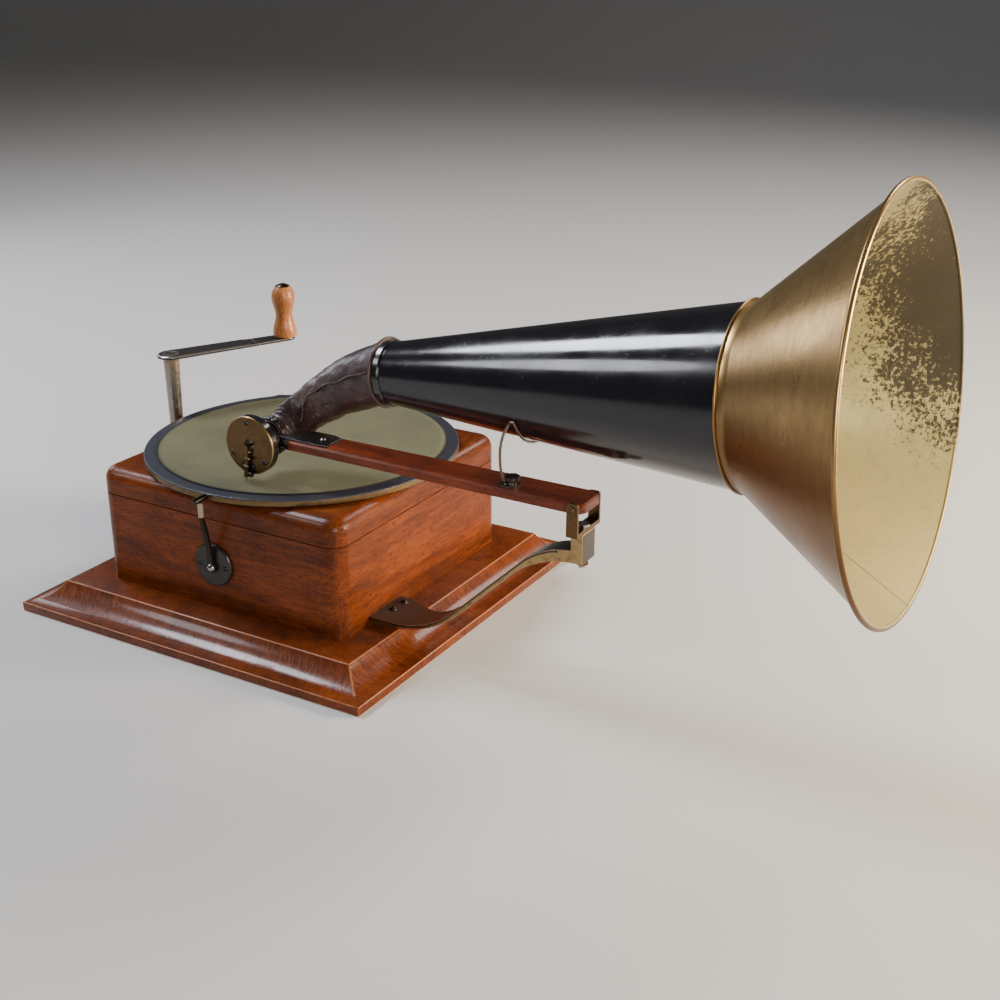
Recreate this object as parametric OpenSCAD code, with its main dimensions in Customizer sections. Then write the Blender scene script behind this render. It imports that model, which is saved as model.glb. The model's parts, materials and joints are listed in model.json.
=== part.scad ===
// Gramophone with a travelling arm and a cone horn. Millimetres.
// The origin is the centre of the plinth's underside, +Z is up, the horn points to +X
// and the brake is on the front, which faces -Y.

/* [Plinth] */
// Width of the plinth, side to side
plinth_w = 333; // [310:1:380]
// Depth of the plinth, front to back
plinth_d = 327; // [310:1:380]
// Height of the plinth's plain lower edge
plinth_edge_h = 7.3; // [5:0.1:10]
// Height of the plinth's flat top
plinth_h = 22.7; // [20:0.1:26]
// Width of the hollow moulding round the plinth
cove_w = 26; // [18:1:30]
// Thickness of the bottom board let into the plinth
bottom_board_t = 8; // [6:0.5:12]

/* [Case] */
// Width of the case, side to side
case_w = 234; // [228:1:244]
// Depth of the case, front to back
case_d = 229; // [222:1:236]
// Height of the case above the plinth, with its lid
case_h = 95.3; // [90:0.1:110]
// Thickness of the case walls
case_wall = 12; // [9:0.5:14]
// Radius of the case's upright corners
case_corner_r = 14.7; // [12:0.1:20]
// Height of the lid
lid_h = 21; // [18:0.5:26]
// Thickness of the lid's top board
lid_board_t = 12; // [9:0.5:14]
// Rounding of the lid's top edge
lid_edge_r = 10; // [5:0.5:11]
// Height of the shadow line under the lid
seam_h = 1; // [0.6:0.1:2]
// Depth of the shadow line under the lid
seam_depth = 1; // [0.5:0.1:2]

/* [Turntable] */
// Diameter of the turntable
turntable_d = 254; // [240:1:258]
// Thickness of the turntable's rim
turntable_t = 5.5; // [4:0.1:7]
// Gap between the turntable and the lid
turntable_gap = 1.2; // [1:0.1:6]
// Diameter of the felt mat
mat_d = 234; // [200:1:240]
// Thickness of the felt mat
mat_t = 1; // [0.6:0.1:2]
// Diameter of the pin that takes a record
record_pin_d = 7.2; // [6.8:0.1:7.4]
// Height of the record pin above the mat
record_pin_h = 9; // [7:0.5:14]
// Radius of the record pin's foot
record_foot_r = 3; // [2.5:0.1:3.3]

/* [Horn] */
// Wall of the horn's sheet metal
horn_wall = 0.4; // [0.3:0.05:0.6]
// Length of the black cone
cone_l = 284.5; // [250:0.5:320]
// Outer radius of the cone's small end
cone_small_r = 21.65; // [20:0.05:22]
// Outer radius of the cone's large end
cone_large_r = 61; // [55:0.5:66]
// Length of the bell, along the horn
bell_l = 91.3; // [80:0.1:110]
// Radius of the bell's mouth
bell_r = 131; // [110:0.5:140]
// Radius of the rolled edge of the bell
bead_r = 1.8; // [1.2:0.1:2.6]
// Rise of the horn towards its bell, in degrees
horn_rise = 5.65; // [3:0.05:8]
// Length of the cone that goes into the leather elbow
cone_tuck = 4; // [3:0.5:6]

/* [Soundbox] */
// Diameter of the soundbox
soundbox_d = 45.2; // [42:0.1:50]
// Depth of the soundbox, front to back
soundbox_t = 7.5; // [7:0.1:9]
// Thickness of the brass front plate
face_t = 1.6; // [1.2:0.1:2]
// Radius of the hole in the front plate
face_hole_r = 5.1; // [4:0.1:6]
// Thickness of the mica diaphragm
diaphragm_t = 0.4; // [0.3:0.05:0.6]
// Height of the soundbox's centre above the mat
soundbox_h = 29.5; // [28:0.1:33]
// Lean of the needle towards the crank side, in degrees
stylus_lean = 5.2; // [0:0.1:10]
// Gap between the needle's point and the mat
needle_gap = 0.3; // [0.2:0.05:0.5]
// Outer radius of the neck at the soundbox
neck_r = 10.5; // [9.5:0.1:11]

/* [Arm] */
// Distance of the arm's upright pivot to the right of the turntable's centre
pivot_x = 292; // [285:0.5:300]
// Distance of the arm's upright pivot in front of the turntable's centre
pivot_front = 69; // [66:0.5:72]
// Distance of the soundbox to the right of the turntable's centre
soundbox_x = 23.6; // [20:0.1:28]
// Distance of the soundbox's front plate in front of the turntable's centre
soundbox_front = 94; // [92:0.5:97]
// Thickness of the wooden arm
arm_t = 7; // [6:0.1:9]
// Width of the arm at the soundbox
arm_tip_w = 25.5; // [22:0.5:27]
// Width of the arm at the pivot
arm_pivot_w = 30; // [26:0.5:32]
// Length of the arm past the pivot
arm_tail_l = 6.5; // [6:0.5:16]
// Radius of the pin that the arm tilts on
arm_pin_r = 1.6; // [1.4:0.1:2]
// Thickness of the saddle's sheet metal
saddle_t = 1.2; // [0.8:0.1:1.6]
// Radius of the wire that carries the horn
cradle_wire_r = 1; // [0.8:0.1:1.3]
// Distance of the wire cradle from the arm's pivot
cradle_from_pivot = 42.5; // [40:0.5:60]

/* [Bracket] */
// Width of the horn bracket
bracket_w = 19; // [16:0.5:20]
// Thickness of the bracket's foot
bracket_foot_t = 7; // [5:0.1:8]
// Height of the bracket's pivot block
pivot_block_h = 22; // [18:0.5:24]
// Width of the pivot block, along the horn
pivot_block_w = 9; // [8.5:0.1:12]
// Radius of the stem that the yoke turns on
stem_r = 2.5; // [2:0.1:3]
// Thickness of the yoke's straps
yoke_t = 1.8; // [1.4:0.1:2.4]
// Width of the yoke's straps
yoke_w = 8.6; // [8:0.1:11]

/* [Crank] */
// Distance of the crank's shaft from the case's left side
crank_out = 27; // [26:0.5:29]
// Distance of the crank's shaft behind the turntable's centre
crank_back = 7.7; // [4:0.1:12]
// Height of the crank arm's underside above the lid
crank_rise = 55; // [45:0.5:70]
// Length of the crank, between its two axes
crank_l = 106; // [80:0.5:108]
// Direction of the crank at rest, in degrees from +X
crank_angle = 62.4; // [50:0.1:80]
// Thickness of the crank's flat arm
crank_arm_t = 2.3; // [2:0.1:4]
// Height of the wooden grip
grip_h = 45; // [40:0.5:60]
// Radius of the crank's shaft in its bearing
crank_shaft_r = 5.2; // [4.5:0.1:5.6]

/* [Brake] */
// Radius of the brake's round plate
brake_plate_r = 17.5; // [16:0.5:20]
// Thickness of the brake's round plate
brake_plate_t = 3; // [2:0.1:4]
// Height of the brake's pivot above the plinth
brake_pivot_h = 36.3; // [34:0.1:40]
// Distance of the brake's pad to the right of its pivot
brake_pad_side = 7; // [5:0.5:9]
// Gap between the brake's pad and the turntable's rim
brake_gap = 0.3; // [0.2:0.05:0.6]

/* [Motor] */
// Teeth of the winding wheel
winding_wheel_teeth = 40; // [36:1:42]
// Teeth of the winding pinion on the crank's shaft
winding_pinion_teeth = 12; // [11:1:13]
// Module of the winding gears
winding_module = 3; // [2.8:0.1:3]
// Teeth of the barrel's gear
barrel_teeth = 44; // [40:1:44]
// Teeth of the intermediate pinion
mid_pinion_teeth = 10; // [9:1:10]
// Teeth of the intermediate wheel
mid_wheel_teeth = 40; // [38:1:42]
// Teeth of the spindle's pinion
spindle_pinion_teeth = 10; // [9:1:11]
// Teeth of the governor's wheel
governor_wheel_teeth = 40; // [36:1:40]
// Teeth of the governor's pinion
governor_pinion_teeth = 8; // [8:1:9]
// Module of the motor's gears
train_module = 1.5; // [1.4:0.05:1.5]
// Distance of the spring barrel behind the turntable's centre
barrel_back = 24; // [20:0.5:28]
// Thickness of the motor's plates
motor_plate_t = 3; // [2.5:0.1:4]
// Outer radius of the spring barrel
barrel_r = 31; // [28:0.5:31]
// Turns of the mainspring
mainspring_turns = 6; // [4:1:8]
// Running clearance of shafts in their bearings
run = 0.05; // [0.02:0.01:0.09]

/* [Hidden] */
$fn = 64;

// Heights
case_top = plinth_h + case_h;
lid_z = case_top - lid_h;
lid_under = case_top - lid_board_t;
turntable_z = case_top + turntable_gap;
turntable_top = turntable_z + turntable_t;
mat_top = turntable_top + mat_t;
soundbox_z = mat_top + soundbox_h;
arm_z = soundbox_z - 2.2;
arm_top = arm_z + arm_t;
arm_pin_z = arm_z + arm_t / 2;

// Case
front_y = -case_d / 2;
left_x = -case_w / 2;
right_x = case_w / 2;
opening_r = 4;
bottom_opening_w = case_w - 2 * case_wall - 8;
bottom_opening_d = case_d - 2 * case_wall - 8;
bottom_rebate = 8;
spindle_hole_r = 9;

// Round-headed screws
screw_head_r = 2.3;
screw_head_h = 1.4;
screw_shank_r = 1.3;
screw_l = 8;

// Motor
train_depth = 1.35;
motor_gap = 5;
motor_top_z = lid_under - motor_gap - motor_plate_t;
motor_bottom_z = motor_top_z - 55 - motor_plate_t;
motor_left = left_x + case_wall + 5;
motor_right = 42;
motor_x = (motor_left + motor_right) / 2;
motor_y = 2;
motor_w = motor_right - motor_left;
motor_d = 144;
motor_corner = 8;
pillar_r = 4.5;
hanger_r = 2.4;
hanger_head_r = 4.5;
hanger_head_h = 2.5;
hanger_grip = 8;
crank_x = left_x - crank_out;
crank_y = crank_back;
winding_reach = winding_module * (winding_wheel_teeth + winding_pinion_teeth) / 2;
winding_wheel_r = winding_module * winding_wheel_teeth / 2;
winding_pinion_r = winding_module * winding_pinion_teeth / 2;
barrel_x = crank_x + sqrt(pow(winding_reach, 2) - pow(crank_y - barrel_back, 2));
barrel_y = barrel_back;
mid_to_barrel = train_module * (barrel_teeth + mid_pinion_teeth) / 2;
mid_to_spindle = train_module * (mid_wheel_teeth + spindle_pinion_teeth) / 2;
barrel_dist = norm([barrel_x, barrel_y]);
barrel_dir = atan2(barrel_y, barrel_x);
mid_dir = barrel_dir + acos((pow(mid_to_spindle, 2) + pow(barrel_dist, 2) - pow(mid_to_barrel, 2))
    / (2 * mid_to_spindle * barrel_dist));
mid_x = mid_to_spindle * cos(mid_dir);
mid_y = mid_to_spindle * sin(mid_dir);
governor_reach = train_module * (governor_wheel_teeth + governor_pinion_teeth) / 2;
governor_dir = -45;
governor_x = governor_reach * cos(governor_dir);
governor_y = governor_reach * sin(governor_dir);
spindle_r = 4;
spindle_foot_r = 3;
arbor_r = 5;
mid_shaft_r = 2.5;
governor_shaft_r = 2;
winding_wheel_z = motor_bottom_z - 8;
winding_wheel_t = 4;
drum_z = motor_bottom_z + motor_plate_t + 5;
drum_h = 36;
drum_wall = 2;
arbor_hub_r = 9;
barrel_gear_z = drum_z + drum_h;
barrel_gear_t = 4;
mid_pinion_z = barrel_gear_z - 0.5;
mid_pinion_t = 5;
mid_wheel_z = mid_pinion_z + mid_pinion_t + 1.5;
mid_wheel_t = 3;
governor_wheel_z = motor_bottom_z + 20;
governor_wheel_t = 3;
spring_t = 0.7;
axial = 0.3;

// Crank
crank_arm_z = case_top + crank_rise;
crank_top_z = crank_arm_z + crank_arm_t;
crank_plate_t = 0.7;
crank_end_r = 11.6;
crank_tip_r = 8.6;
shaft_top_r = 6.8;
grip_x = crank_x + crank_l * cos(crank_angle);
grip_y = crank_y + crank_l * sin(crank_angle);
grip_pin_r = 2.5;
grip_z = crank_top_z + axial;
grip_top = grip_z + grip_h;
housing_floor_z = plinth_h + 0.3;
housing_wall = 3.5;
gear_room = 1;
chamber_z = winding_wheel_z - 1.5;
chamber_h = winding_wheel_t + 3;
chamber_top = chamber_z + chamber_h;
bearing_r = 10.5;
bearing_top = case_top - 20;
flange_t = 4;
flange_h = chamber_top + housing_wall - housing_floor_z;
chamber_r = winding_wheel_r + winding_module + gear_room;
slot_w = 2 * sqrt(pow(chamber_r, 2) - pow(barrel_x - left_x - case_wall, 2));
flange_w = slot_w + 16;

// Bracket, yoke and arm
pivot_y = -pivot_front;
block_top = arm_z - 17;
block_z = block_top - pivot_block_h;
yoke_gap = 0.3;
yoke_base_z = block_top + yoke_gap;
yoke_base_t = 3;
yoke_top = arm_top + 1;
yoke_half = arm_pivot_w / 2 + yoke_gap;
arm_start_x = soundbox_x + 26.4;
arm_end_x = pivot_x + arm_tail_l;
saddle_end_x = soundbox_x + 60.6;
arm_edge = 1.5;

// Soundbox, in its own frame: +Z points out of its face and +Y up
soundbox_y = -soundbox_front;
soundbox_r = soundbox_d / 2;
shell_wall_r = 14.8;
shell_back_t = 1.6;
diaphragm_z = -soundbox_t + shell_back_t + 1.9;
diaphragm_r = 14.3;
gasket_inner_r = 12;
face_screw_ring = 17.6;
face_screw_angles = [95, 208, 322];
stylus_pivot_y = -16.4;
stylus_z = 2.6;
bar_w = 2.6;
bar_t = 1.5;
stylus_pin_r = 0.7;
chuck_r = 1.9;
chuck_top = stylus_pivot_y - 2.2;
chuck_l = 5.6;
needle_r = 0.65;
needle_tip_y = -(soundbox_h - needle_gap) / cos(stylus_lean);

// Neck and elbow
elbow_rings = 18;
elbow_sides = 16;
neck_back_y = soundbox_y + soundbox_t;
elbow_start_y = -72;
neck_end_y = elbow_start_y + 2.5;
elbow_start_r = 13.8;
elbow_wall = 2.2;
neck_tail_r = (elbow_start_r - elbow_wall) * cos(180 / elbow_sides) - 0.15;

// Horn frame: +Z runs along the horn from its small end
horn_x = soundbox_x + 97.9;
horn_y = -53;
horn_z = soundbox_z + 61.5;
horn_dir = [cos(horn_rise), 0, sin(horn_rise)];
cone_slope = (cone_large_r - cone_small_r) / cone_l;
collar_l = 3;
elbow_p0 = [soundbox_x, elbow_start_y, soundbox_z];
elbow_p3 = [horn_x, horn_y, horn_z + 0.2] + horn_dir * cone_tuck;
elbow_p1 = elbow_p0 + [-1, 30, 0];
elbow_p2 = elbow_p3 - horn_dir * 53 - [0, 0, 10.4];
elbow_end_r = 25.5;

// Wire cradle
cradle_x = pivot_x - cradle_from_pivot;
cradle_s = (cradle_x - horn_x) / cos(horn_rise);
cradle_z = horn_z + (cradle_x - horn_x) * tan(horn_rise);
cradle_ring_r = cone_small_r + cone_slope * cradle_s + cradle_wire_r + 0.3;
cradle_start = 210;
cradle_end = 332;
cradle_foot = [cradle_x - 14.5, pivot_y - 8.5, arm_top];
cradle_knob_x = cradle_x - 8;
cradle_knob_y = pivot_y - 8.5;
cradle_sides = 8;

// Brake
brake_pivot_x = -0.7;
brake_pivot_z = plinth_h + brake_pivot_h;
brake_plate_z = brake_pivot_z + 1.3;
brake_face_y = front_y - brake_plate_t;
brake_pad_x = brake_pivot_x + brake_pad_side;
brake_pad_z = turntable_z + turntable_t / 2;
brake_pad_r = 2.4;
brake_pad_l = 13.5;
rim_y_at_pad = -sqrt(pow(turntable_d / 2, 2) - pow(brake_pad_x - brake_pad_r, 2));
brake_pad_y = rim_y_at_pad - brake_gap;
lever_top_y = brake_pad_y - 6;
lever_w = 4.4;
lever_t = 2.4;
ferrule_l = 12;

// Square with round corners, made of true arcs
module round_square(w, d, r) {
    square([w - 2 * r, d], center = true);
    square([w, d - 2 * r], center = true);
    for (sx = [-1, 1], sy = [-1, 1])
        translate([sx * (w / 2 - r), sy * (d / 2 - r)])
            circle(r);
}

module at(x, y, z) {
    translate([x, y, z])
        children();
}

module up(z) {
    translate([0, 0, z])
        children();
}

// Round head standing on z = 0 with its shank below
module round_screw(head_r = screw_head_r, head_h = screw_head_h, shank_r = screw_shank_r, l = screw_l) {
    ball_r = (pow(head_r, 2) + pow(head_h, 2)) / (2 * head_h);
    rotate_extrude($fn = 32)
        intersection() {
            translate([0, head_h - ball_r])
                circle(ball_r, $fn = 64);
            square([head_r, head_h]);
        }
    up(-l)
        cylinder(h = l + 0.1, r = shank_r, $fn = 32);
}

module screw_hole(shank_r = screw_shank_r, l = screw_l) {
    up(-l)
        cylinder(h = l + 1, r = shank_r, $fn = 32);
}

// Clock-style gear with radial flanks below its pitch circle, one tooth centred on +X
module gear(teeth, mod, t, bore, wheel = true) {
    pitch_r = mod * teeth / 2;
    pitch_half = 90 / teeth * (wheel ? 0.84 : 0.78);
    tip_r = pitch_r + mod * (wheel ? 0.95 : 0.8);
    tip_half = 90 / teeth * 0.3 * pitch_r / tip_r;
    root_r = pitch_r - mod * train_depth;
    outline = [for (i = [0:teeth - 1], p = [[root_r, -pitch_half], [pitch_r, -pitch_half],
        [tip_r, -tip_half], [tip_r, tip_half], [pitch_r, pitch_half], [root_r, pitch_half]])
        p[0] * [cos(i * 360 / teeth + p[1]), sin(i * 360 / teeth + p[1])]];
    difference() {
        linear_extrude(height = t)
            polygon(outline);
        up(-1)
            cylinder(h = t + 2, r = bore);
    }
}

// Turn that puts a tooth gap, or a tooth, on the line of centres
function gap_on(dir, teeth) = dir + 180 / teeth;

function smooth(t) = t * t * (3 - 2 * t);
function unit(v) = v / norm(v);
function arc_points(c, r, a0, a1, n) = [for (i = [0:n]) c + r * [cos(a0 + (a1 - a0) * i / n),
    sin(a0 + (a1 - a0) * i / n)]];

// S-shaped line from [x0, z0] to [x1, z1], level at both ends, with bends of r0 and r1
function s_line(x0, z0, x1, z1, r0, r1, n = 8) =
    let (c0 = [x0, z0 + r0], c1 = [x1, z1 - r1], d = c1 - c0,
        turn = atan2(d[1], d[0]) + asin((r0 + r1) / norm(d)))
    concat(arc_points(c0, r0, -90, -90 + turn, n), arc_points(c1, r1, 90 + turn, 90, n));

// Tube skin through a list of rings, closed at both ends
module skin(rings) {
    n = len(rings[0]);
    m = len(rings);
    side = [for (k = [0:m - 2], j = [0:n - 1], q = [0, 1])
        q == 0 ? [k * n + j, k * n + (j + 1) % n, (k + 1) * n + j]
            : [k * n + (j + 1) % n, (k + 1) * n + (j + 1) % n, (k + 1) * n + j]];
    caps = [[for (j = [0:n - 1]) n - 1 - j], [for (j = [0:n - 1]) (m - 1) * n + j]];
    polyhedron(points = [for (ring = rings) each ring], faces = concat(side, caps), convexity = 6);
}

// Ring of points round a centre, square to a direction, level with the ground on one axis
function ring_at(c, dir, r, n) =
    let (s = unit(cross(dir, [0, 0, 1])), b = cross(s, dir))
    [for (j = [0:n - 1]) c + r * (s * cos(j * 360 / n) + b * sin(j * 360 / n))];

module plinth_moulding(len, w) {
    cove_r = (pow(cove_w, 2) + pow(plinth_h - plinth_edge_h, 2)) / (2 * (plinth_h - plinth_edge_h));
    rotate([90, 0, 0])
        up(-len / 2)
            linear_extrude(height = len)
                difference() {
                    translate([-w / 2, 0])
                        square([w, plinth_h]);
                    for (s = [-1, 1])
                        intersection() {
                            translate([s * w / 2, plinth_edge_h + cove_r])
                                circle(cove_r, $fn = 96);
                            translate([s * (w / 2 - cove_w / 2 + 1), plinth_h / 2 + plinth_edge_h])
                                square([cove_w + 2, plinth_h], center = true);
                        }
                }
}

module plinth() {
    color("saddlebrown")
        difference() {
            intersection() {
                plinth_moulding(plinth_d + 2, plinth_w);
                rotate([0, 0, 90])
                    plinth_moulding(plinth_w + 2, plinth_d);
            }
            up(-1)
                linear_extrude(height = plinth_h + 2)
                    round_square(bottom_opening_w, bottom_opening_d, opening_r);
            up(-1)
                linear_extrude(height = bottom_board_t + 1)
                    round_square(bottom_opening_w + 2 * bottom_rebate, bottom_opening_d + 2 * bottom_rebate,
                        opening_r);
            bracket_screw_places()
                screw_hole(bracket_screw_r, bracket_screw_l);
        }
}

module bottom_board() {
    color("sienna")
        linear_extrude(height = bottom_board_t)
            round_square(bottom_opening_w + 2 * bottom_rebate - 0.2, bottom_opening_d + 2 * bottom_rebate - 0.2,
                opening_r);
}

module case_body() {
    color("saddlebrown")
        difference() {
            up(plinth_h)
                linear_extrude(height = lid_z - plinth_h)
                    difference() {
                        round_square(case_w, case_d, case_corner_r);
                        round_square(case_w - 2 * case_wall, case_d - 2 * case_wall, opening_r);
                    }
            translate([left_x + case_wall / 2, barrel_y, chamber_z + chamber_h / 2])
                cube([case_wall + 2, slot_w, chamber_h], center = true);
            brake_screw_places()
                screw_hole();
            at(brake_pivot_x, front_y, brake_pivot_z)
                rotate([90, 0, 0])
                    screw_hole(brake_pin_r, brake_pin_l);
            housing_screw_places()
                screw_hole();
        }
}

module lid_corner() {
    rotate_extrude($fn = 48) {
        square([case_corner_r, lid_h - seam_h - lid_edge_r]);
        square([case_corner_r - lid_edge_r, lid_h - seam_h]);
        intersection() {
            translate([case_corner_r - lid_edge_r, lid_h - seam_h - lid_edge_r])
                circle(lid_edge_r, $fn = 48);
            square([case_corner_r, lid_h - seam_h]);
        }
    }
}

module lid() {
    color("saddlebrown")
        difference() {
            union() {
                up(lid_z + seam_h)
                    hull()
                        for (sx = [-1, 1], sy = [-1, 1])
                            translate([sx * (case_w / 2 - case_corner_r), sy * (case_d / 2 - case_corner_r), 0])
                                lid_corner();
                up(lid_z)
                    linear_extrude(height = seam_h + 1)
                        round_square(case_w - 2 * seam_depth, case_d - 2 * seam_depth,
                            case_corner_r - seam_depth);
            }
            up(lid_z - 1)
                linear_extrude(height = lid_under - lid_z + 1)
                    round_square(case_w - 2 * case_wall, case_d - 2 * case_wall, opening_r);
            cylinder(h = case_top + 1, r = spindle_hole_r);
            hanger_places()
                up(lid_under - 1)
                    cylinder(h = hanger_grip + 1, r = hanger_r);
        }
}

// The bracket's foot lies on the plinth against the case, and its strap sweeps up to the pivot block
foot_x = right_x + 0.3;
foot_back_y = -36;
foot_top = plinth_h + bracket_foot_t;
bracket_screw_r = 2;
bracket_screw_l = 12;
bracket_y = pivot_y;

module bracket_screw_places() {
    for (y = [-44, -59])
        translate([foot_x + 8, y, foot_top])
            children();
}

module horn_bracket() {
    near_y = bracket_y - bracket_w / 2;
    far_y = bracket_y + bracket_w / 2;
    upper = s_line(foot_x + 20, foot_top, pivot_x, block_z + 9.4, 78, 63);
    lower = s_line(foot_x + 14, plinth_h + 2.5, pivot_x, block_z, 96, 75);
    color("dimgray")
        difference() {
            union() {
                intersection() {
                    translate([0, foot_back_y, 0])
                        rotate([90, 0, 0])
                            linear_extrude(height = bracket_w + 40)
                                polygon(concat([[foot_x, plinth_h], [foot_x, foot_top]], upper,
                                    [for (i = [len(lower) - 1:-1:0]) lower[i]], [[foot_x + 13, plinth_h]]));
                    linear_extrude(height = block_top)
                        polygon([[foot_x, near_y], [foot_x, foot_back_y - 2], [foot_x + 2, foot_back_y],
                            [foot_x + 13, foot_back_y - 1], [foot_x + 48, far_y + 6.5], [foot_x + 84, far_y],
                            [pivot_x, far_y], [pivot_x, near_y]]);
                }
                translate([pivot_x, bracket_y, block_z + pivot_block_h / 2])
                    cube([pivot_block_w, bracket_w, pivot_block_h], center = true);
            }
            translate([pivot_x, pivot_y, block_z - 1])
                cylinder(h = pivot_block_h + 2, r = stem_r + run);
            bracket_screw_places()
                screw_hole(bracket_screw_r, bracket_screw_l);
        }
}

module brake_screw_places() {
    for (side = [-1, 1])
        translate([brake_pivot_x + side * 12.6, brake_face_y, brake_plate_z])
            rotate([90, 0, 0])
                children();
}

module housing_screw_places() {
    for (y = [-1, 1], z = [0, 1])
        translate([left_x - flange_t, barrel_y + y * (flange_w / 2 - 4),
            housing_floor_z + 5 + z * (flange_h - 10)])
            rotate([0, -90, 0])
                children();
}

module case_screws() {
    color("gray") {
        brake_screw_places()
            round_screw(head_r = 1.9);
        housing_screw_places()
            round_screw();
        bracket_screw_places()
            round_screw(head_r = 3.4, head_h = 2, shank_r = bracket_screw_r, l = bracket_screw_l);
    }
}

brake_pin_r = 2;
brake_pin_l = 8;
brake_boss_h = 1;

module brake_plate() {
    color("black")
        difference() {
            translate([brake_pivot_x, front_y, brake_plate_z])
                rotate([90, 0, 0])
                    rotate_extrude() {
                        square([brake_plate_r, brake_plate_t - 1]);
                        square([brake_plate_r - 1.4, brake_plate_t]);
                        translate([brake_plate_r - 1.4, brake_plate_t - 1.4])
                            intersection() {
                                circle(1.4, $fn = 32);
                                translate([0, -1])
                                    square([1.4, 2.4]);
                            }
                    }
            brake_screw_places()
                screw_hole();
            at(brake_pivot_x, front_y, brake_pivot_z)
                rotate([90, 0, 0])
                    up(-1)
                        cylinder(h = brake_plate_t + 2, r = brake_pin_r);
        }
}

module brake_pivot() {
    color("gray")
        at(brake_pivot_x, brake_face_y - lever_t - 2 * axial, brake_pivot_z)
            rotate([90, 0, 0])
                round_screw(head_r = 3.6, head_h = 1.9, shank_r = brake_pin_r,
                    l = brake_plate_t + lever_t + 2 * axial + brake_pin_l);
}

module crank_housing() {
    web_t = 6;
    module gear_case(extra) {
        translate([crank_x, crank_y])
            circle(winding_pinion_r + winding_module + gear_room + extra);
        translate([barrel_x, barrel_y])
            circle(chamber_r + extra);
    }
    color("dimgray")
        difference() {
            union() {
                up(housing_floor_z)
                    linear_extrude(height = flange_h)
                        intersection() {
                            gear_case(housing_wall);
                            translate([left_x - 60, barrel_y - flange_w])
                                square([60, 2 * flange_w]);
                        }
                translate([crank_x, crank_y, housing_floor_z])
                    cylinder(h = bearing_top - housing_floor_z, r = bearing_r);
                translate([left_x - flange_t, barrel_y - flange_w / 2, housing_floor_z])
                    cube([flange_t, flange_w, flange_h]);
                translate([crank_x, crank_y - web_t / 2, housing_floor_z])
                    cube([crank_out, web_t, bearing_top - 8 - housing_floor_z]);
                translate([left_x - flange_t, crank_y - 12, housing_floor_z])
                    cube([flange_t, 24, bearing_top - 8 - housing_floor_z]);
            }
            up(chamber_z)
                linear_extrude(height = chamber_h)
                    gear_case(0);
            translate([crank_x, crank_y, chamber_top - 1])
                cylinder(h = bearing_top, r = crank_shaft_r + run);
            translate([crank_x, crank_y, housing_floor_z + 2])
                cylinder(h = chamber_z - housing_floor_z, r = crank_foot_r + run);
            housing_screw_places()
                screw_hole();
        }
}

module pillar_places() {
    for (sx = [-1, 1], sy = [-1, 1])
        translate([motor_x + sx * (motor_w / 2 - motor_corner), motor_y + sy * (motor_d / 2 - motor_corner), 0])
            children();
}

module hanger_places() {
    for (p = [[0, -1], [0, 1], [1, 0], [-1, -0.35]])
        translate([motor_x + p[0] * (motor_w / 2 - motor_corner),
            motor_y + p[1] * (motor_d / 2 - motor_corner), 0])
            children();
}

module motor_plate_outline() {
    translate([motor_x, motor_y])
        round_square(motor_w, motor_d, motor_corner);
}

module motor_bores() {
    up(-1) {
        at(barrel_x, barrel_y, 0)
            cylinder(h = motor_plate_t + 2, r = arbor_r + run);
        at(mid_x, mid_y, 0)
            cylinder(h = motor_plate_t + 2, r = mid_shaft_r + run);
        at(governor_x, governor_y, 0)
            cylinder(h = motor_plate_t + 2, r = governor_shaft_r + run);
        pillar_places()
            cylinder(h = motor_plate_t + 2, r = hanger_r);
    }
}

module motor_top_plate() {
    color("goldenrod")
        up(motor_top_z)
            difference() {
                linear_extrude(height = motor_plate_t)
                    motor_plate_outline();
                motor_bores();
                up(-1) {
                    cylinder(h = motor_plate_t + 2, r = spindle_r + run);
                    hanger_places()
                        cylinder(h = motor_plate_t + 2, r = hanger_r);
                }
            }
}

module motor_bottom_plate() {
    color("goldenrod")
        up(motor_bottom_z)
            difference() {
                linear_extrude(height = motor_plate_t)
                    motor_plate_outline();
                motor_bores();
                up(0.8)
                    cylinder(h = motor_plate_t, r = spindle_foot_r + run);
            }
}

module motor_pillars() {
    color("silver")
        pillar_places() {
            up(motor_bottom_z + motor_plate_t)
                cylinder(h = motor_top_z - motor_bottom_z - motor_plate_t, r = pillar_r);
            up(motor_bottom_z - 0.5)
                cylinder(h = motor_top_z - motor_bottom_z + motor_plate_t + 1, r = hanger_r);
        }
}

module motor_hangers() {
    color("silver")
        hanger_places() {
            up(motor_top_z + motor_plate_t)
                cylinder(h = motor_gap, r = hanger_head_r + 1);
            up(motor_top_z - hanger_head_h)
                cylinder(h = hanger_head_h, r = hanger_head_r);
            up(motor_top_z - 1)
                cylinder(h = motor_plate_t + motor_gap + hanger_grip + 0.8, r = hanger_r);
        }
}

module turntable() {
    hub_r = 13;
    edge_r = 0.9;
    color("slategray")
        up(turntable_z)
            rotate_extrude($fn = 128)
                difference() {
                    union() {
                        square([turntable_d / 2 - edge_r, turntable_t]);
                        translate([0, edge_r])
                            square([turntable_d / 2, turntable_t - 2 * edge_r]);
                        for (z = [edge_r, turntable_t - edge_r])
                            translate([turntable_d / 2 - edge_r, z])
                                circle(edge_r, $fn = 24);
                    }
                    translate([-1, -1])
                        square([1 + record_foot_r, turntable_t + 2]);
                    translate([hub_r, -1])
                        square([turntable_d / 2 - hub_r - 6, turntable_t / 2 + 1]);
                }
}

module turntable_mat() {
    color("darkkhaki")
        up(turntable_top)
            difference() {
                cylinder(h = mat_t, r = mat_d / 2, $fn = 128);
                up(-1)
                    cylinder(h = mat_t + 2, r = record_foot_r + 0.2);
            }
}

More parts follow.
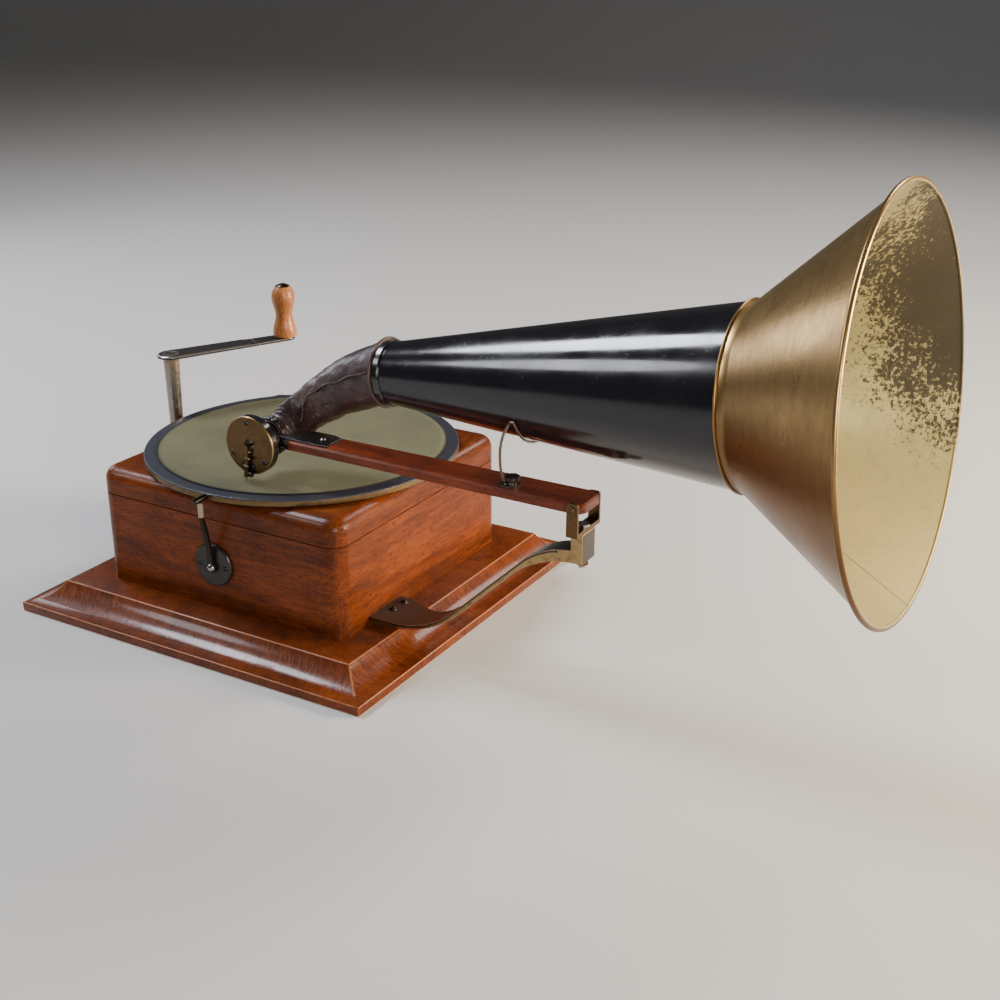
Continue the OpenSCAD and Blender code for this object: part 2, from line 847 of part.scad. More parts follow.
// Pin pressed into the turntable's hub; it stands in a record's hole
module record_pin() {
    pin_top = mat_top + record_pin_h;
    tip_r = 1.6;
    color("silver")
        rotate_extrude() {
            translate([0, turntable_z])
                square([record_foot_r, mat_top - turntable_z + 0.1]);
            translate([0, mat_top])
                square([record_pin_d / 2, pin_top - tip_r - mat_top]);
            translate([0, pin_top - tip_r - 1])
                square([record_pin_d / 2 - tip_r, tip_r + 1]);
            translate([record_pin_d / 2 - tip_r, pin_top - tip_r])
                intersection() {
                    circle(tip_r, $fn = 32);
                    square(tip_r);
                }
        }
}

module spindle() {
    color("silver") {
        rotate_extrude() {
            translate([0, motor_bottom_z + 0.8 + axial])
                square([spindle_foot_r, motor_plate_t + 2]);
            translate([0, motor_bottom_z + motor_plate_t + axial])
                square([spindle_r, turntable_z - motor_bottom_z - motor_plate_t - axial]);
            translate([0, mid_wheel_z - 3])
                square([spindle_r + 1, 2]);
        }
        up(mid_wheel_z - 1)
            rotate([0, 0, mid_dir])
                gear(spindle_pinion_teeth, train_module, mid_wheel_t + 2, spindle_r - 0.5, wheel = false);
    }
}

module governor_wheel() {
    color("goldenrod")
        up(governor_wheel_z)
            rotate([0, 0, gap_on(governor_dir, governor_wheel_teeth)]) {
                gear(governor_wheel_teeth, train_module, governor_wheel_t, spindle_r + 5);
                difference() {
                    up(-2)
                        cylinder(h = governor_wheel_t + 4, r = spindle_r + 6);
                    up(-3)
                        cylinder(h = governor_wheel_t + 6, r = spindle_r);
                }
            }
}

module barrel_drum() {
    color("goldenrod")
        translate([barrel_x, barrel_y, drum_z])
            difference() {
                cylinder(h = drum_h, r = barrel_r);
                up(drum_wall)
                    cylinder(h = drum_h, r = barrel_r - drum_wall);
                up(-1)
                    cylinder(h = drum_wall + 2, r = arbor_r + run);
            }
}

module barrel_gear() {
    color("goldenrod")
        translate([barrel_x, barrel_y, barrel_gear_z])
            rotate([0, 0, barrel_to_mid])
                gear(barrel_teeth, train_module, barrel_gear_t, arbor_r + run);
}

// Direction from the barrel's axis to the intermediate wheel's axis
barrel_to_mid = atan2(mid_y - barrel_y, mid_x - barrel_x);

module mainspring() {
    inner = arbor_hub_r + 1.2;
    outer = barrel_r - drum_wall - spring_t - 0.3;
    steps = 20 * mainspring_turns;
    function spiral_r(i) = inner + (outer - inner) * i / steps;
    function spiral_point(i, extra) = (spiral_r(i) + extra) * [cos(i * 18), sin(i * 18)];
    color("steelblue")
        translate([barrel_x, barrel_y, drum_z + drum_wall + axial])
            linear_extrude(height = drum_h - drum_wall - 2 * axial)
                polygon(concat([for (i = [0:steps]) spiral_point(i, 0)],
                    [for (i = [steps:-1:0]) spiral_point(i, spring_t)]));
}

module barrel_arbor() {
    bottom = winding_wheel_z - 1;
    top = motor_top_z + motor_plate_t + 1;
    color("silver")
        translate([barrel_x, barrel_y, 0])
            union() {
                up(bottom)
                    cylinder(h = top - bottom, r = arbor_r);
                up(drum_z + drum_wall + axial)
                    cylinder(h = drum_h - drum_wall - 2 * axial, r = arbor_hub_r);
            }
}

module winding_wheel() {
    to_crank = atan2(crank_y - barrel_y, crank_x - barrel_x);
    color("goldenrod")
        translate([barrel_x, barrel_y, winding_wheel_z])
            rotate([0, 0, gap_on(to_crank, winding_wheel_teeth)])
                gear(winding_wheel_teeth, winding_module, winding_wheel_t, arbor_r);
}

module intermediate_arbor() {
    color("silver")
        translate([mid_x, mid_y, 0]) {
            up(motor_bottom_z + 0.2)
                cylinder(h = motor_top_z + motor_plate_t - motor_bottom_z - 0.4, r = mid_shaft_r);
            up(mid_pinion_z)
                rotate([0, 0, gap_on(barrel_to_mid + 180, mid_pinion_teeth)])
                    gear(mid_pinion_teeth, train_module, mid_pinion_t, mid_shaft_r - 0.5, wheel = false);
        }
}

module intermediate_wheel() {
    color("goldenrod")
        translate([mid_x, mid_y, mid_wheel_z])
            rotate([0, 0, gap_on(mid_dir + 180, mid_wheel_teeth)])
                gear(mid_wheel_teeth, train_module, mid_wheel_t, mid_shaft_r);
}

governor_mid_z = governor_wheel_z + 20;
governor_half = 8;
weight_reach = 11;
weight_r = 4.6;
collar_half = 3;
governor_collar_r = 4;

module governor_shaft() {
    disc_z = governor_mid_z + governor_half + collar_half + 1;
    color("silver")
        translate([governor_x, governor_y, 0]) {
            up(motor_bottom_z + 0.2)
                cylinder(h = motor_top_z + motor_plate_t - motor_bottom_z - 0.4, r = governor_shaft_r);
            up(governor_wheel_z - 1)
                rotate([0, 0, governor_dir + 180])
                    gear(governor_pinion_teeth, train_module, governor_wheel_t + 2, governor_shaft_r - 0.5,
                        wheel = false);
            up(disc_z)
                cylinder(h = 1.5, r = 12);
        }
}

module governor_weights() {
    leaf_t = 0.5;
    bow = weight_reach - governor_collar_r + 0.5;
    leaf_r = (pow(bow, 2) + pow(governor_half, 2)) / (2 * bow);
    color("gray")
        translate([governor_x, governor_y, governor_mid_z]) {
            for (z = [-governor_half, governor_half])
                up(z - collar_half / 2)
                    difference() {
                        cylinder(h = collar_half, r = governor_collar_r);
                        up(-1)
                            cylinder(h = collar_half + 2, r = governor_shaft_r);
                    }
            for (a = [0:120:240])
                rotate([0, 0, a]) {
                    rotate([90, 0, 0])
                        up(-1.5)
                            linear_extrude(height = 3)
                                intersection() {
                                    translate([weight_reach - leaf_r, 0])
                                        difference() {
                                            circle(leaf_r);
                                            circle(leaf_r - leaf_t);
                                        }
                                    translate([governor_collar_r - 0.6, -20])
                                        square([40, 40]);
                                }
                    translate([weight_reach, 0, 0])
                        sphere(weight_r, $fn = 32);
                }
        }
}

crank_foot_r = 4;

module crank_shaft() {
    foot_z = housing_floor_z + 2 + axial;
    seat_z = chamber_z + axial;
    color("silver")
        translate([crank_x, crank_y, 0]) {
            rotate_extrude() {
                translate([0, foot_z])
                    square([crank_foot_r, seat_z - foot_z + 1]);
                translate([0, seat_z])
                    square([crank_shaft_r, bearing_top + axial - seat_z + 0.5]);
                polygon([[0, bearing_top + axial], [crank_shaft_r + 0.3, bearing_top + axial],
                    [shaft_top_r, crank_arm_z], [0, crank_arm_z]]);
                translate([0, crank_arm_z - 1])
                    square([shaft_top_r - 1.5, crank_arm_t + crank_plate_t + 1]);
            }
            up(winding_wheel_z - 0.5)
                rotate([0, 0, atan2(barrel_y - crank_y, barrel_x - crank_x)])
                    gear(winding_pinion_teeth, winding_module, winding_wheel_t + 1, crank_shaft_r - 0.5,
                        wheel = false);
        }
}

// Flat bar that narrows to the grip, with a raised plate that stops short of it
module crank_arm() {
    plate_l = crank_l * 0.66;
    module bar(trim) {
        circle(crank_end_r - trim);
        translate([crank_l, 0])
            circle(crank_tip_r - trim);
        polygon([[0, -crank_end_r + trim], [crank_l, -crank_tip_r + trim],
            [crank_l, crank_tip_r - trim], [0, crank_end_r - trim]]);
    }
    color("dimgray")
        translate([crank_x, crank_y, crank_arm_z])
            rotate([0, 0, crank_angle])
                difference() {
                    union() {
                        linear_extrude(height = crank_arm_t)
                            bar(0);
                        linear_extrude(height = crank_arm_t + crank_plate_t)
                            intersection() {
                                bar(1);
                                translate([plate_l - crank_l, 0])
                                    circle(crank_l);
                            }
                    }
                    up(-1)
                        cylinder(h = 12, r = shaft_top_r - 1.5);
                    translate([crank_l, 0, -1])
                        cylinder(h = 12, r = grip_pin_r);
                }
}

module crank_pin() {
    color("silver")
        translate([grip_x, grip_y, crank_arm_z]) {
            cylinder(h = crank_arm_t + 2 * axial + grip_h, r = grip_pin_r);
            up(-1.2)
                cylinder(h = 1.2, r = grip_pin_r + 2);
        }
}

module crank_cap() {
    cap_r = 6.2;
    cap_h = 2.2;
    color("black")
        translate([grip_x, grip_y, crank_top_z + 2 * axial + grip_h])
            rotate_extrude()
                intersection() {
                    translate([0, cap_h - 10])
                        circle(10, $fn = 96);
                    square([cap_r, cap_h]);
                }
}

// Turned grip: wide foot, waist, wide head
module crank_grip() {
    foot_r = 10.5;
    waist_r = 7.4;
    head_r = 10.3;
    waist_z = grip_h * 0.44;
    head_z = grip_h * 0.78;
    low = arc_points([foot_r - 1.5, 1.5], 1.5, -90, 0, 3);
    waist = [for (i = [0:8]) let (t = i / 8)
        [foot_r + (waist_r - foot_r) * smooth(t), 3 + (waist_z - 3) * t]];
    head = [for (i = [1:8]) let (t = i / 8)
        [waist_r + (head_r - waist_r) * smooth(t), waist_z + (head_z - waist_z) * t]];
    crown = [for (i = [1:6]) let (t = i / 6)
        [head_r - 3.6 * pow(t, 2), head_z + (grip_h - head_z) * t]];
    color("peru")
        translate([grip_x, grip_y, grip_z])
            rotate_extrude()
                polygon(concat([[grip_pin_r + run, 0]], low, waist, head, crown, [[grip_pin_r + run, grip_h]]));
}

// The lever leans out past the turntable's rim
lever_foot = [brake_pivot_x, brake_face_y - axial - lever_t / 2, brake_pivot_z];
lever_head = [brake_pad_x, lever_top_y, brake_pad_z - ferrule_l - brake_pad_r];
function lever_point(t) =
    let (d = lever_head - lever_foot, bow = pow(t, 1.8))
    lever_foot + [d[0] * bow, d[1] * bow, d[2] * t];

module brake_lever() {
    bends = 5;
    color("dimgray")
        difference() {
            union() {
                translate([brake_pivot_x, brake_face_y - axial, brake_pivot_z])
                    rotate([90, 0, 0])
                        cylinder(h = lever_t, r = 4.6);
                for (i = [0:bends - 1])
                    hull()
                        for (k = [i, i + 1])
                            translate(lever_point(k / bends))
                                cube([lever_w - k * 0.2, lever_t, 0.6], center = true);
                translate(lever_head)
                    cylinder(h = ferrule_l + brake_pad_r - 0.6, r = 1, $fn = 24);
            }
            translate([brake_pivot_x, brake_face_y + 1, brake_pivot_z])
                rotate([90, 0, 0])
                    cylinder(h = lever_t + 4, r = brake_pin_r + run);
        }
}

module brake_ferrule() {
    color("ivory")
        translate(lever_head + [0, 0, 0.3])
            difference() {
                cylinder(h = ferrule_l - 0.6, r = 2.1, $fn = 32);
                up(-1)
                    cylinder(h = ferrule_l + 2, r = 1, $fn = 24);
            }
}

module brake_pad() {
    color("dimgray")
        translate([brake_pad_x, brake_pad_y, brake_pad_z])
            rotate([90, 0, 0])
                difference() {
                    rotate_extrude($fn = 32) {
                        square([brake_pad_r, brake_pad_l - 1]);
                        square([brake_pad_r - 0.8, brake_pad_l]);
                    }
                    up(brake_pad_y - lever_top_y)
                        rotate([90, 0, 0])
                            up(0.4)
                                cylinder(h = 4, r = 1, $fn = 24);
                }
}

module yoke() {
    corner = 1.6;
    color("darkgoldenrod")
        difference() {
            union() {
                for (s = [-1, 1])
                    let (strap_h = (s < 0 ? yoke_top : arm_top - 0.6) - yoke_base_z)
                    translate([pivot_x, pivot_y + s * (yoke_half + yoke_t / 2) + yoke_t / 2, yoke_base_z])
                        rotate([90, 0, 0])
                            linear_extrude(height = yoke_t) {
                                translate([-yoke_w / 2, 0])
                                    square([yoke_w, strap_h - corner]);
                                translate([-yoke_w / 2 + corner, 0])
                                    square([yoke_w - 2 * corner, strap_h]);
                                for (sx = [-1, 1])
                                    translate([sx * (yoke_w / 2 - corner), strap_h - corner])
                                        circle(corner, $fn = 32);
                            }
                translate([pivot_x - yoke_w / 2, pivot_y - yoke_half - yoke_t / 2, yoke_base_z])
                    cube([yoke_w, 2 * yoke_half + yoke_t, yoke_base_t]);
            }
            translate([pivot_x, pivot_y, yoke_base_z - 1])
                cylinder(h = yoke_base_t + 2, r = stem_r);
            translate([pivot_x, pivot_y + 50, arm_pin_z])
                rotate([90, 0, 0])
                    cylinder(h = 100, r = arm_pin_r);
        }
}

module yoke_stem() {
    color("silver")
        translate([pivot_x, pivot_y, block_z - nut_h - 2.5])
            cylinder(h = yoke_base_z + yoke_base_t - block_z + nut_h + 2.5, r = stem_r);
    color("silver")
        translate([pivot_x, pivot_y, yoke_base_z + yoke_base_t])
            cylinder(h = 1.8, r = stem_r + 2);
}

nut_h = 3;

module stem_nut() {
    color("darkgoldenrod")
        translate([pivot_x, pivot_y, block_z - axial - nut_h])
            difference() {
                cylinder(h = nut_h, r = 4.4, $fn = 6);
                up(-1)
                    cylinder(h = nut_h + 2, r = stem_r);
            }
}

module arm_pin() {
    half = yoke_half + yoke_t;
    color("silver")
        translate([pivot_x, pivot_y, arm_pin_z])
            rotate([90, 0, 0]) {
                up(-half - 0.5)
                    cylinder(h = 2 * half + 0.5, r = arm_pin_r);
                up(half)
                    rotate_extrude($fn = 32)
                        polygon([[0, 0], [2.2, 0], [2.2, 0.5], [1.5, 1], [0, 1]]);
            }
}

// Outline of the arm, narrow at the soundbox and rounded past the pivot, drawn in by trim
module arm_outline(trim) {
    tail_r = 7;
    hull() {
        for (s = [-1, 1]) {
            translate([arm_start_x + 2 + trim, pivot_y + s * (arm_tip_w / 2 - 2 - trim)])
                circle(2, $fn = 24);
            translate([arm_end_x - tail_r - trim, pivot_y + s * (arm_pivot_w / 2 - tail_r - trim)])
                circle(tail_r, $fn = 48);
        }
    }
}

module travel_arm() {
    color("brown")
        difference() {
            up(arm_z)
                hull() {
                    linear_extrude(height = arm_t - arm_edge)
                        arm_outline(0);
                    linear_extrude(height = arm_t)
                        arm_outline(arm_edge * 0.7);
                }
            translate([pivot_x, pivot_y + 50, arm_pin_z])
                rotate([90, 0, 0])
                    cylinder(h = 100, r = arm_pin_r + run);
            arm_screw_places()
                screw_hole(l = arm_t - 2);
        }
}

module arm_screw_places() {
    translate([saddle_end_x - 11, pivot_y + 1, arm_top + saddle_t])
        children();
    translate([cradle_knob_x - 4, cradle_knob_y + 5, arm_top + base_t])
        children();
}

module arm_screws() {
    color("silver")
        arm_screw_places()
            round_screw(l = arm_t - 2);
}

saddle_ring_r = neck_r + 1.5;

// Sheet strap round the neck, with tangs above and below the arm
module arm_saddle() {
    tip = arm_tip_w / 2 - 2.2;
    clear_y = elbow_start_y - 0.5;
    color("black")
        difference() {
            union() {
                translate([soundbox_x, elbow_start_y - 2.3, soundbox_z])
                    rotate([90, 0, 0])
                        cylinder(h = 8, r = saddle_ring_r + saddle_t);
                up(arm_top)
                    linear_extrude(height = saddle_t)
                        polygon([[soundbox_x, pivot_y - tip], [saddle_end_x, pivot_y - tip],
                            [saddle_end_x, pivot_y + tip - 1], [saddle_end_x - 8, pivot_y + tip + 2],
                            [arm_start_x + 6, pivot_y + tip + 2], [arm_start_x - 4, clear_y],
                            [soundbox_x, clear_y]]);
                up(arm_z - saddle_t)
                    linear_extrude(height = saddle_t)
                        polygon([[soundbox_x, pivot_y - tip], [arm_start_x + 20, pivot_y - tip],
                            [arm_start_x + 28, pivot_y], [arm_start_x + 20, pivot_y + tip],
                            [arm_start_x + 6, pivot_y + tip], [arm_start_x - 4, clear_y],
                            [soundbox_x, clear_y]]);
            }
            translate([soundbox_x, 0, soundbox_z])
                rotate([90, 0, 0])
                    cylinder(h = 200, r = saddle_ring_r);
            arm_screw_places()
                screw_hole(l = arm_t);
        }
}

module neck() {
    color("black")
        translate([soundbox_x, 0, soundbox_z])
            rotate([90, 0, 0])
                rotate_extrude()
                    polygon([[neck_r - 1.5, -neck_back_y - 0.01], [neck_r, -neck_back_y - 0.01],
                        [neck_r, -neck_back_y - 1], [saddle_ring_r - 0.02, -neck_back_y - 4],
                        [saddle_ring_r - 0.02, -elbow_start_y + 2], [neck_tail_r, -elbow_start_y],
                        [neck_tail_r, -neck_end_y], [neck_tail_r - 1.2, -neck_end_y],
                        [neck_tail_r - 1.2, -elbow_start_y + 1], [neck_r - 1.5, -neck_back_y - 5]]);
}

function bezier(t) = pow(1 - t, 3) * elbow_p0 + 3 * pow(1 - t, 2) * t * elbow_p1
    + 3 * (1 - t) * pow(t, 2) * elbow_p2 + pow(t, 3) * elbow_p3;
function bezier_dir(t) = unit(pow(1 - t, 2) * (elbow_p1 - elbow_p0) + 2 * (1 - t) * t * (elbow_p2 - elbow_p1)
    + pow(t, 2) * (elbow_p3 - elbow_p2));
function elbow_dir(t) =
    let (w = smooth(min(1, t / 0.72)), v = smooth(max(0, (t - 0.75) / 0.25)))
    unit((1 - w) * [0, 1, 0] + w * ((1 - v) * bezier_dir(t) + v * horn_dir));
function elbow_r(t) = elbow_start_r + (elbow_end_r - elbow_start_r) * t - 7.8 * t * (1 - t);

// Leather elbow, a bent tube that widens to the horn
module elbow() {
    function rings(inset) = [for (k = [0:elbow_rings]) let (t = k / elbow_rings)
        ring_at(bezier(t), elbow_dir(t), elbow_r(t) - inset, elbow_sides)];
    outer = rings(0);
    inner = rings(elbow_wall);
    n = elbow_sides;
    m = elbow_rings + 1;
    function wall(base, flip) = [for (k = [0:m - 2], j = [0:n - 1], q = [0, 1])
        let (a = base + k * n + j, b = base + (k + 1) * n + j, c = base + k * n + (j + 1) % n,
            d = base + (k + 1) * n + (j + 1) % n, f = q == 0 ? [a, b, c] : [c, b, d])
        flip ? [f[2], f[1], f[0]] : f];
    function rim(k, flip) = [for (j = [0:n - 1], q = [0, 1])
        let (a = k * n + j, b = k * n + (j + 1) % n, c = m * n + a, d = m * n + b,
            f = q == 0 ? [a, b, c] : [b, d, c])
        flip ? [f[2], f[1], f[0]] : f];
    color("saddlebrown")
        polyhedron(points = concat([for (r = outer) each r], [for (r = inner) each r]),
            faces = concat(wall(0, true), wall(m * n, false), rim(0, true), rim(m - 1, false)), convexity = 8);
}

module at_horn() {
    translate([horn_x, horn_y, horn_z])
        rotate([0, 90 - horn_rise, 0])
            children();
}

function cone_r(s) = cone_small_r + cone_slope * s;

module horn_collar() {
    s0 = cone_tuck - collar_l;
    s1 = cone_tuck + 0.3;
    s2 = cone_tuck + 5.5;
    mouth_r = (elbow_end_r - elbow_wall) * cos(180 / elbow_sides) - 0.5;
    flange_r = cone_r(s2) + 1.3;
    gap = 0.06;
    color("black")
        at_horn()
            rotate_extrude()
                polygon([[cone_r(s0) + gap, s0], [mouth_r - 0.4, s0], [mouth_r, s1], [flange_r, s1],
                    [flange_r, s2 - 1], [flange_r - 0.8, s2], [cone_r(s2) + gap, s2]]);
}

module horn_cone() {
    color("black")
        at_horn()
            rotate_extrude($fn = 96)
                polygon([[cone_small_r - horn_wall, 0], [cone_small_r, 0], [cone_large_r, cone_l],
                    [cone_large_r - horn_wall, cone_l]]);
}

// Brass bell with the ring that joins it to the cone and a rolled edge
module horn_bell() {
    lip_s = cone_l - 6;
    ring_r = 1.2;
    mouth_s = cone_l + bell_l;
    color("gold")
        at_horn()
            rotate_extrude($fn = 96)
                difference() {
                    union() {
                        polygon([[cone_r(lip_s) + 0.02, lip_s], [cone_r(lip_s) + horn_wall, lip_s],
                            [cone_large_r + horn_wall + 0.1, cone_l], [bell_r, mouth_s],
                            [bell_r - horn_wall, mouth_s], [cone_large_r + 0.02, cone_l]]);
                        translate([cone_r(lip_s) + ring_r, lip_s + ring_r])
                            circle(ring_r, $fn = 24);
                        translate([bell_r + bead_r - horn_wall, mouth_s])
                            circle(bead_r, $fn = 32);
                    }
                    translate([bell_r + bead_r - horn_wall, mouth_s])
                        circle(bead_r - horn_wall, $fn = 32);
                    polygon([[0, 0], [cone_r(0) + 0.02, 0], [cone_large_r + 0.02, cone_l], [0, cone_l]]);
                }
}

base_t = 1.4;

// Wire from its foot on the arm up past the horn's near side and under the horn
module wire_cradle() {
    ring_c = [cradle_x, horn_y, cradle_z];
    function on_ring(a, x = 0) = ring_c + cradle_ring_r * [0, cos(a), sin(a)] + [x, 0, 0];
    rise = [for (d = [[0, 0, base_t + 0.2], [0, 0, 3.1], [-1.2, -0.3, 5.4], [-2, -0.8, 9.2], [-2.4, -1.5, 14.3],
        [-2.3, -2.3, 20.5], [-1.6, -3.3, 26.7], [-0.2, -4.3, 32.4], [2.1, -5.7, 38.2], [5, -7.4, 43.6],
        [8.9, -10.1, 48.9], [12, -11.9, 51.6], [14.1, -12.5, 51.9]]) cradle_foot + d];
    path = concat(rise, [for (i = [0:14]) on_ring(cradle_start + (cradle_end - cradle_start) * i / 14)]);
    color("silver")
        skin(swept(path, cradle_wire_r));
}

// Rings of points along a path, each turned as little as the path allows
function swept(path, r, i = 0, side = [1, 0, 0]) =
    i == len(path) ? [] :
    let (dir = unit(path[min(len(path) - 1, i + 1)] - path[max(0, i - 1)]),
        s = unit(side - (side * dir) * dir), b = cross(s, dir))
    concat([[for (j = [0:cradle_sides - 1]) path[i] + r * (s * cos(j * 360 / cradle_sides)
        + b * sin(j * 360 / cradle_sides))]], swept(path, r, i + 1, s));

module cradle_base() {
    color("silver")
        difference() {
            union() {
                translate([cradle_foot[0] - 3.5, cradle_knob_y - 4, arm_top])
                    cube([13, 11.5, base_t]);
                translate(cradle_foot)
                    cylinder(h = 2.8, r = 2.6, $fn = 32);
                translate([cradle_knob_x, cradle_knob_y, arm_top])
                    cylinder(h = 4.4, r = 3.2, $fn = 32);
            }
            arm_screw_places()
                screw_hole();
            translate([cradle_knob_x, cradle_knob_y, arm_top - 1])
                cylinder(h = 12, r = 1.5 + run, $fn = 32);
            translate(cradle_foot + [0, 0, base_t])
                cylinder(h = 12, r = cradle_wire_r + 0.1, $fn = 32);
        }
}

module cradle_screw() {
    color("black")
        translate([cradle_knob_x, cradle_knob_y, arm_top])
            rotate_extrude($fn = 32) {
                translate([0, 0.4])
                    square([1.5, 6]);
                translate([0, 4.4 + axial])
                    square([2.6, 1.6]);
                translate([0, 6])
                    square([5.2, 2.2]);
                translate([0, 8.2])
                    square([4.6, 0.5]);
            }
}

// Soundbox frame: +Z out of the face, +Y up, leaning with the stylus
module at_soundbox() {
    translate([soundbox_x, soundbox_y, soundbox_z])
        rotate([90, 0, 0])
            rotate([0, 0, -stylus_lean])
                children();
}

module face_screw_places() {
    for (a = face_screw_angles)
        rotate([0, 0, a + stylus_lean])
            translate([face_screw_ring, 0, 0])
                children();
}

module soundbox_shell() {
    color("black")
        at_soundbox()
            difference() {
                up(-soundbox_t)
                    rotate_extrude() {
                        square([soundbox_r - 1, soundbox_t - face_t]);
                        translate([0, 1])
                            square([soundbox_r, soundbox_t - face_t - 1]);
                        translate([soundbox_r - 1, 1])
                            circle(1, $fn = 24);
                    }
                up(-soundbox_t + shell_back_t)
                    cylinder(h = soundbox_t, r = shell_wall_r);
                up(-soundbox_t - 1)
                    cylinder(h = soundbox_t, r = neck_r - 1.5);
                up(-face_t)
                    face_screw_places()
                        screw_hole(1.1, 3.4);
            }
}

module soundbox_face() {
    color("goldenrod")
        at_soundbox()
            difference() {
                up(-face_t)
                    rotate_extrude() {
                        square([soundbox_r, face_t - 0.5]);
                        square([soundbox_r - 0.5, face_t]);
                    }
                up(-face_t - 1)
                    cylinder(h = face_t + 2, r = face_hole_r);
                face_screw_places()
                    screw_hole(1.1, face_t + 1);
                stylus_bracket_screws()
                    screw_hole(0.7, face_t + 1);
            }
}

module face_screws() {
    color("silver")
        at_soundbox()
            face_screw_places()
                round_screw(head_r = 2.1, head_h = 1.3, shank_r = 1.1, l = face_t + 3);
}

module diaphragm_gaskets() {
    front_z = diaphragm_z + diaphragm_t;
    color("saddlebrown")
        at_soundbox()
            for (span = [[-soundbox_t + shell_back_t, diaphragm_z], [front_z, -face_t]])
                up(span[0])
                    difference() {
                        cylinder(h = span[1] - span[0], r = shell_wall_r - 0.1);
                        up(-1)
                            cylinder(h = span[1] - span[0] + 2, r = gasket_inner_r);
                    }
}

module diaphragm() {
    color("lightgray")
        at_soundbox()
            up(diaphragm_z)
                cylinder(h = diaphragm_t, r = diaphragm_r);
}

ear_gap = bar_w / 2 + 0.2;
ear_t = 1;

module stylus_bracket_screws() {
    for (s = [-1, 1])
        translate([s * 4.2, stylus_pivot_y + 0.6, 0.8])
            children();
}

// Bracket on the face whose two ears hold the stylus bar's pin
module stylus_bracket() {
    color("goldenrod")
        at_soundbox() {
            difference() {
                union() {
                    translate([-5.6, stylus_pivot_y - 1.6, 0])
                        cube([11.2, 3.6, 0.8]);
                    for (s = [-1, 1])
                        translate([s * (ear_gap + ear_t / 2), stylus_pivot_y, stylus_z])
                            rotate([0, 90, 0])
                                cylinder(h = ear_t, r = 1.5, center = true, $fn = 32);
                    for (s = [-1, 1])
                        translate([s * (ear_gap + ear_t / 2) - ear_t / 2, stylus_pivot_y - 1.5, 0])
                            cube([ear_t, 3, stylus_z]);
                }
                stylus_bracket_screws()
                    screw_hole(0.7, 2);
            }
            translate([0, stylus_pivot_y, stylus_z])
                rotate([0, 90, 0])
                    cylinder(h = 2 * ear_gap + ear_t, r = stylus_pin_r, center = true, $fn = 32);
            stylus_bracket_screws()
                round_screw(head_r = 1.2, head_h = 0.7, shank_r = 0.7, l = 2);
        }
}

// Bar from the diaphragm's centre, through the hole, down the face to the needle's chuck
module stylus_bar() {
    tip_z = diaphragm_z + diaphragm_t + 0.5;
    color("silver")
        at_soundbox()
            difference() {
                union() {
                    translate([-bar_w / 2, stylus_pivot_y - 1.4, stylus_z - bar_t / 2])
                        cube([bar_w, -stylus_pivot_y + 2.6, bar_t]);
                    translate([0, stylus_pivot_y, stylus_z])
                        rotate([0, 90, 0])
                            cylinder(h = bar_w, r = 1.5, center = true, $fn = 32);
                    up(tip_z)
                        cylinder(h = stylus_z - tip_z, r = 0.9, $fn = 32);
                    up(stylus_z + bar_t / 2)
                        cylinder(h = 0.9, r = 1.7, $fn = 32);
                    translate([-bar_w / 2, stylus_pivot_y * 0.6, stylus_z])
                        rotate([0, 90, 0])
                            cylinder(h = bar_w + 2.2, r = 1.3, $fn = 32);
                    translate([-bar_w / 2, chuck_top - 1, stylus_z - bar_t / 2])
                        cube([bar_w, stylus_pivot_y - chuck_top + 1, bar_t]);
                    translate([0, chuck_top, stylus_z])
                        rotate([90, 0, 0])
                            cylinder(h = chuck_l, r = chuck_r, $fn = 32);
                }
                translate([0, stylus_pivot_y, stylus_z])
                    rotate([0, 90, 0])
                        cylinder(h = 20, r = stylus_pin_r + run, center = true, $fn = 32);
                translate([0, chuck_top - 1.5, stylus_z])
                    rotate([90, 0, 0])
                        cylinder(h = chuck_l, r = needle_r, $fn = 32);
                translate([0, chuck_top - chuck_l / 2, stylus_z])
                    rotate([0, 90, 0])
                        cylinder(h = 6, r = needle_screw_r + run, $fn = 32);
            }
}

needle_screw_r = 0.8;

module needle() {
    color("silver")
        at_soundbox()
            translate([0, chuck_top - 1.6, stylus_z])
                rotate([90, 0, 0])
                    rotate_extrude($fn = 32)
                        polygon([[0, 0], [needle_r, 0], [needle_r, chuck_l - 1],
                            [0.12, -needle_tip_y + chuck_top - 1.6], [0, -needle_tip_y + chuck_top - 1.6]]);
}

module needle_screw() {
    color("gray")
        at_soundbox()
            translate([0, chuck_top - chuck_l / 2, stylus_z])
                rotate([0, 90, 0])
                    rotate_extrude($fn = 32) {
                        translate([0, needle_r + 0.1])
                            square([needle_screw_r, 4]);
                        translate([0, chuck_r + axial])
                            square([1.3, 1.2]);
                        translate([0, chuck_r + 1.2])
                            square([2.2, 2.2]);
                    }
}

plinth();
bottom_board();
case_body();
lid();
horn_bracket();
case_screws();
brake_plate();
brake_pivot();
crank_housing();
motor_top_plate();
motor_bottom_plate();
motor_pillars();
motor_hangers();
turntable();
turntable_mat();
record_pin();
spindle();
governor_wheel();
barrel_drum();
barrel_gear();
mainspring();
barrel_arbor();
winding_wheel();
intermediate_arbor();
intermediate_wheel();
governor_shaft();
governor_weights();
crank_shaft();
crank_arm();
crank_pin();
crank_cap();
crank_grip();
brake_lever();
brake_ferrule();
brake_pad();
yoke();
yoke_stem();
stem_nut();
arm_pin();
travel_arm();
arm_saddle();
arm_screws();
neck();
elbow();
horn_collar();
horn_cone();
horn_bell();
wire_cradle();
cradle_base();
cradle_screw();
soundbox_shell();
soundbox_face();
face_screws();
diaphragm_gaskets();
diaphragm();
stylus_bracket();
stylus_bar();
needle();
needle_screw();
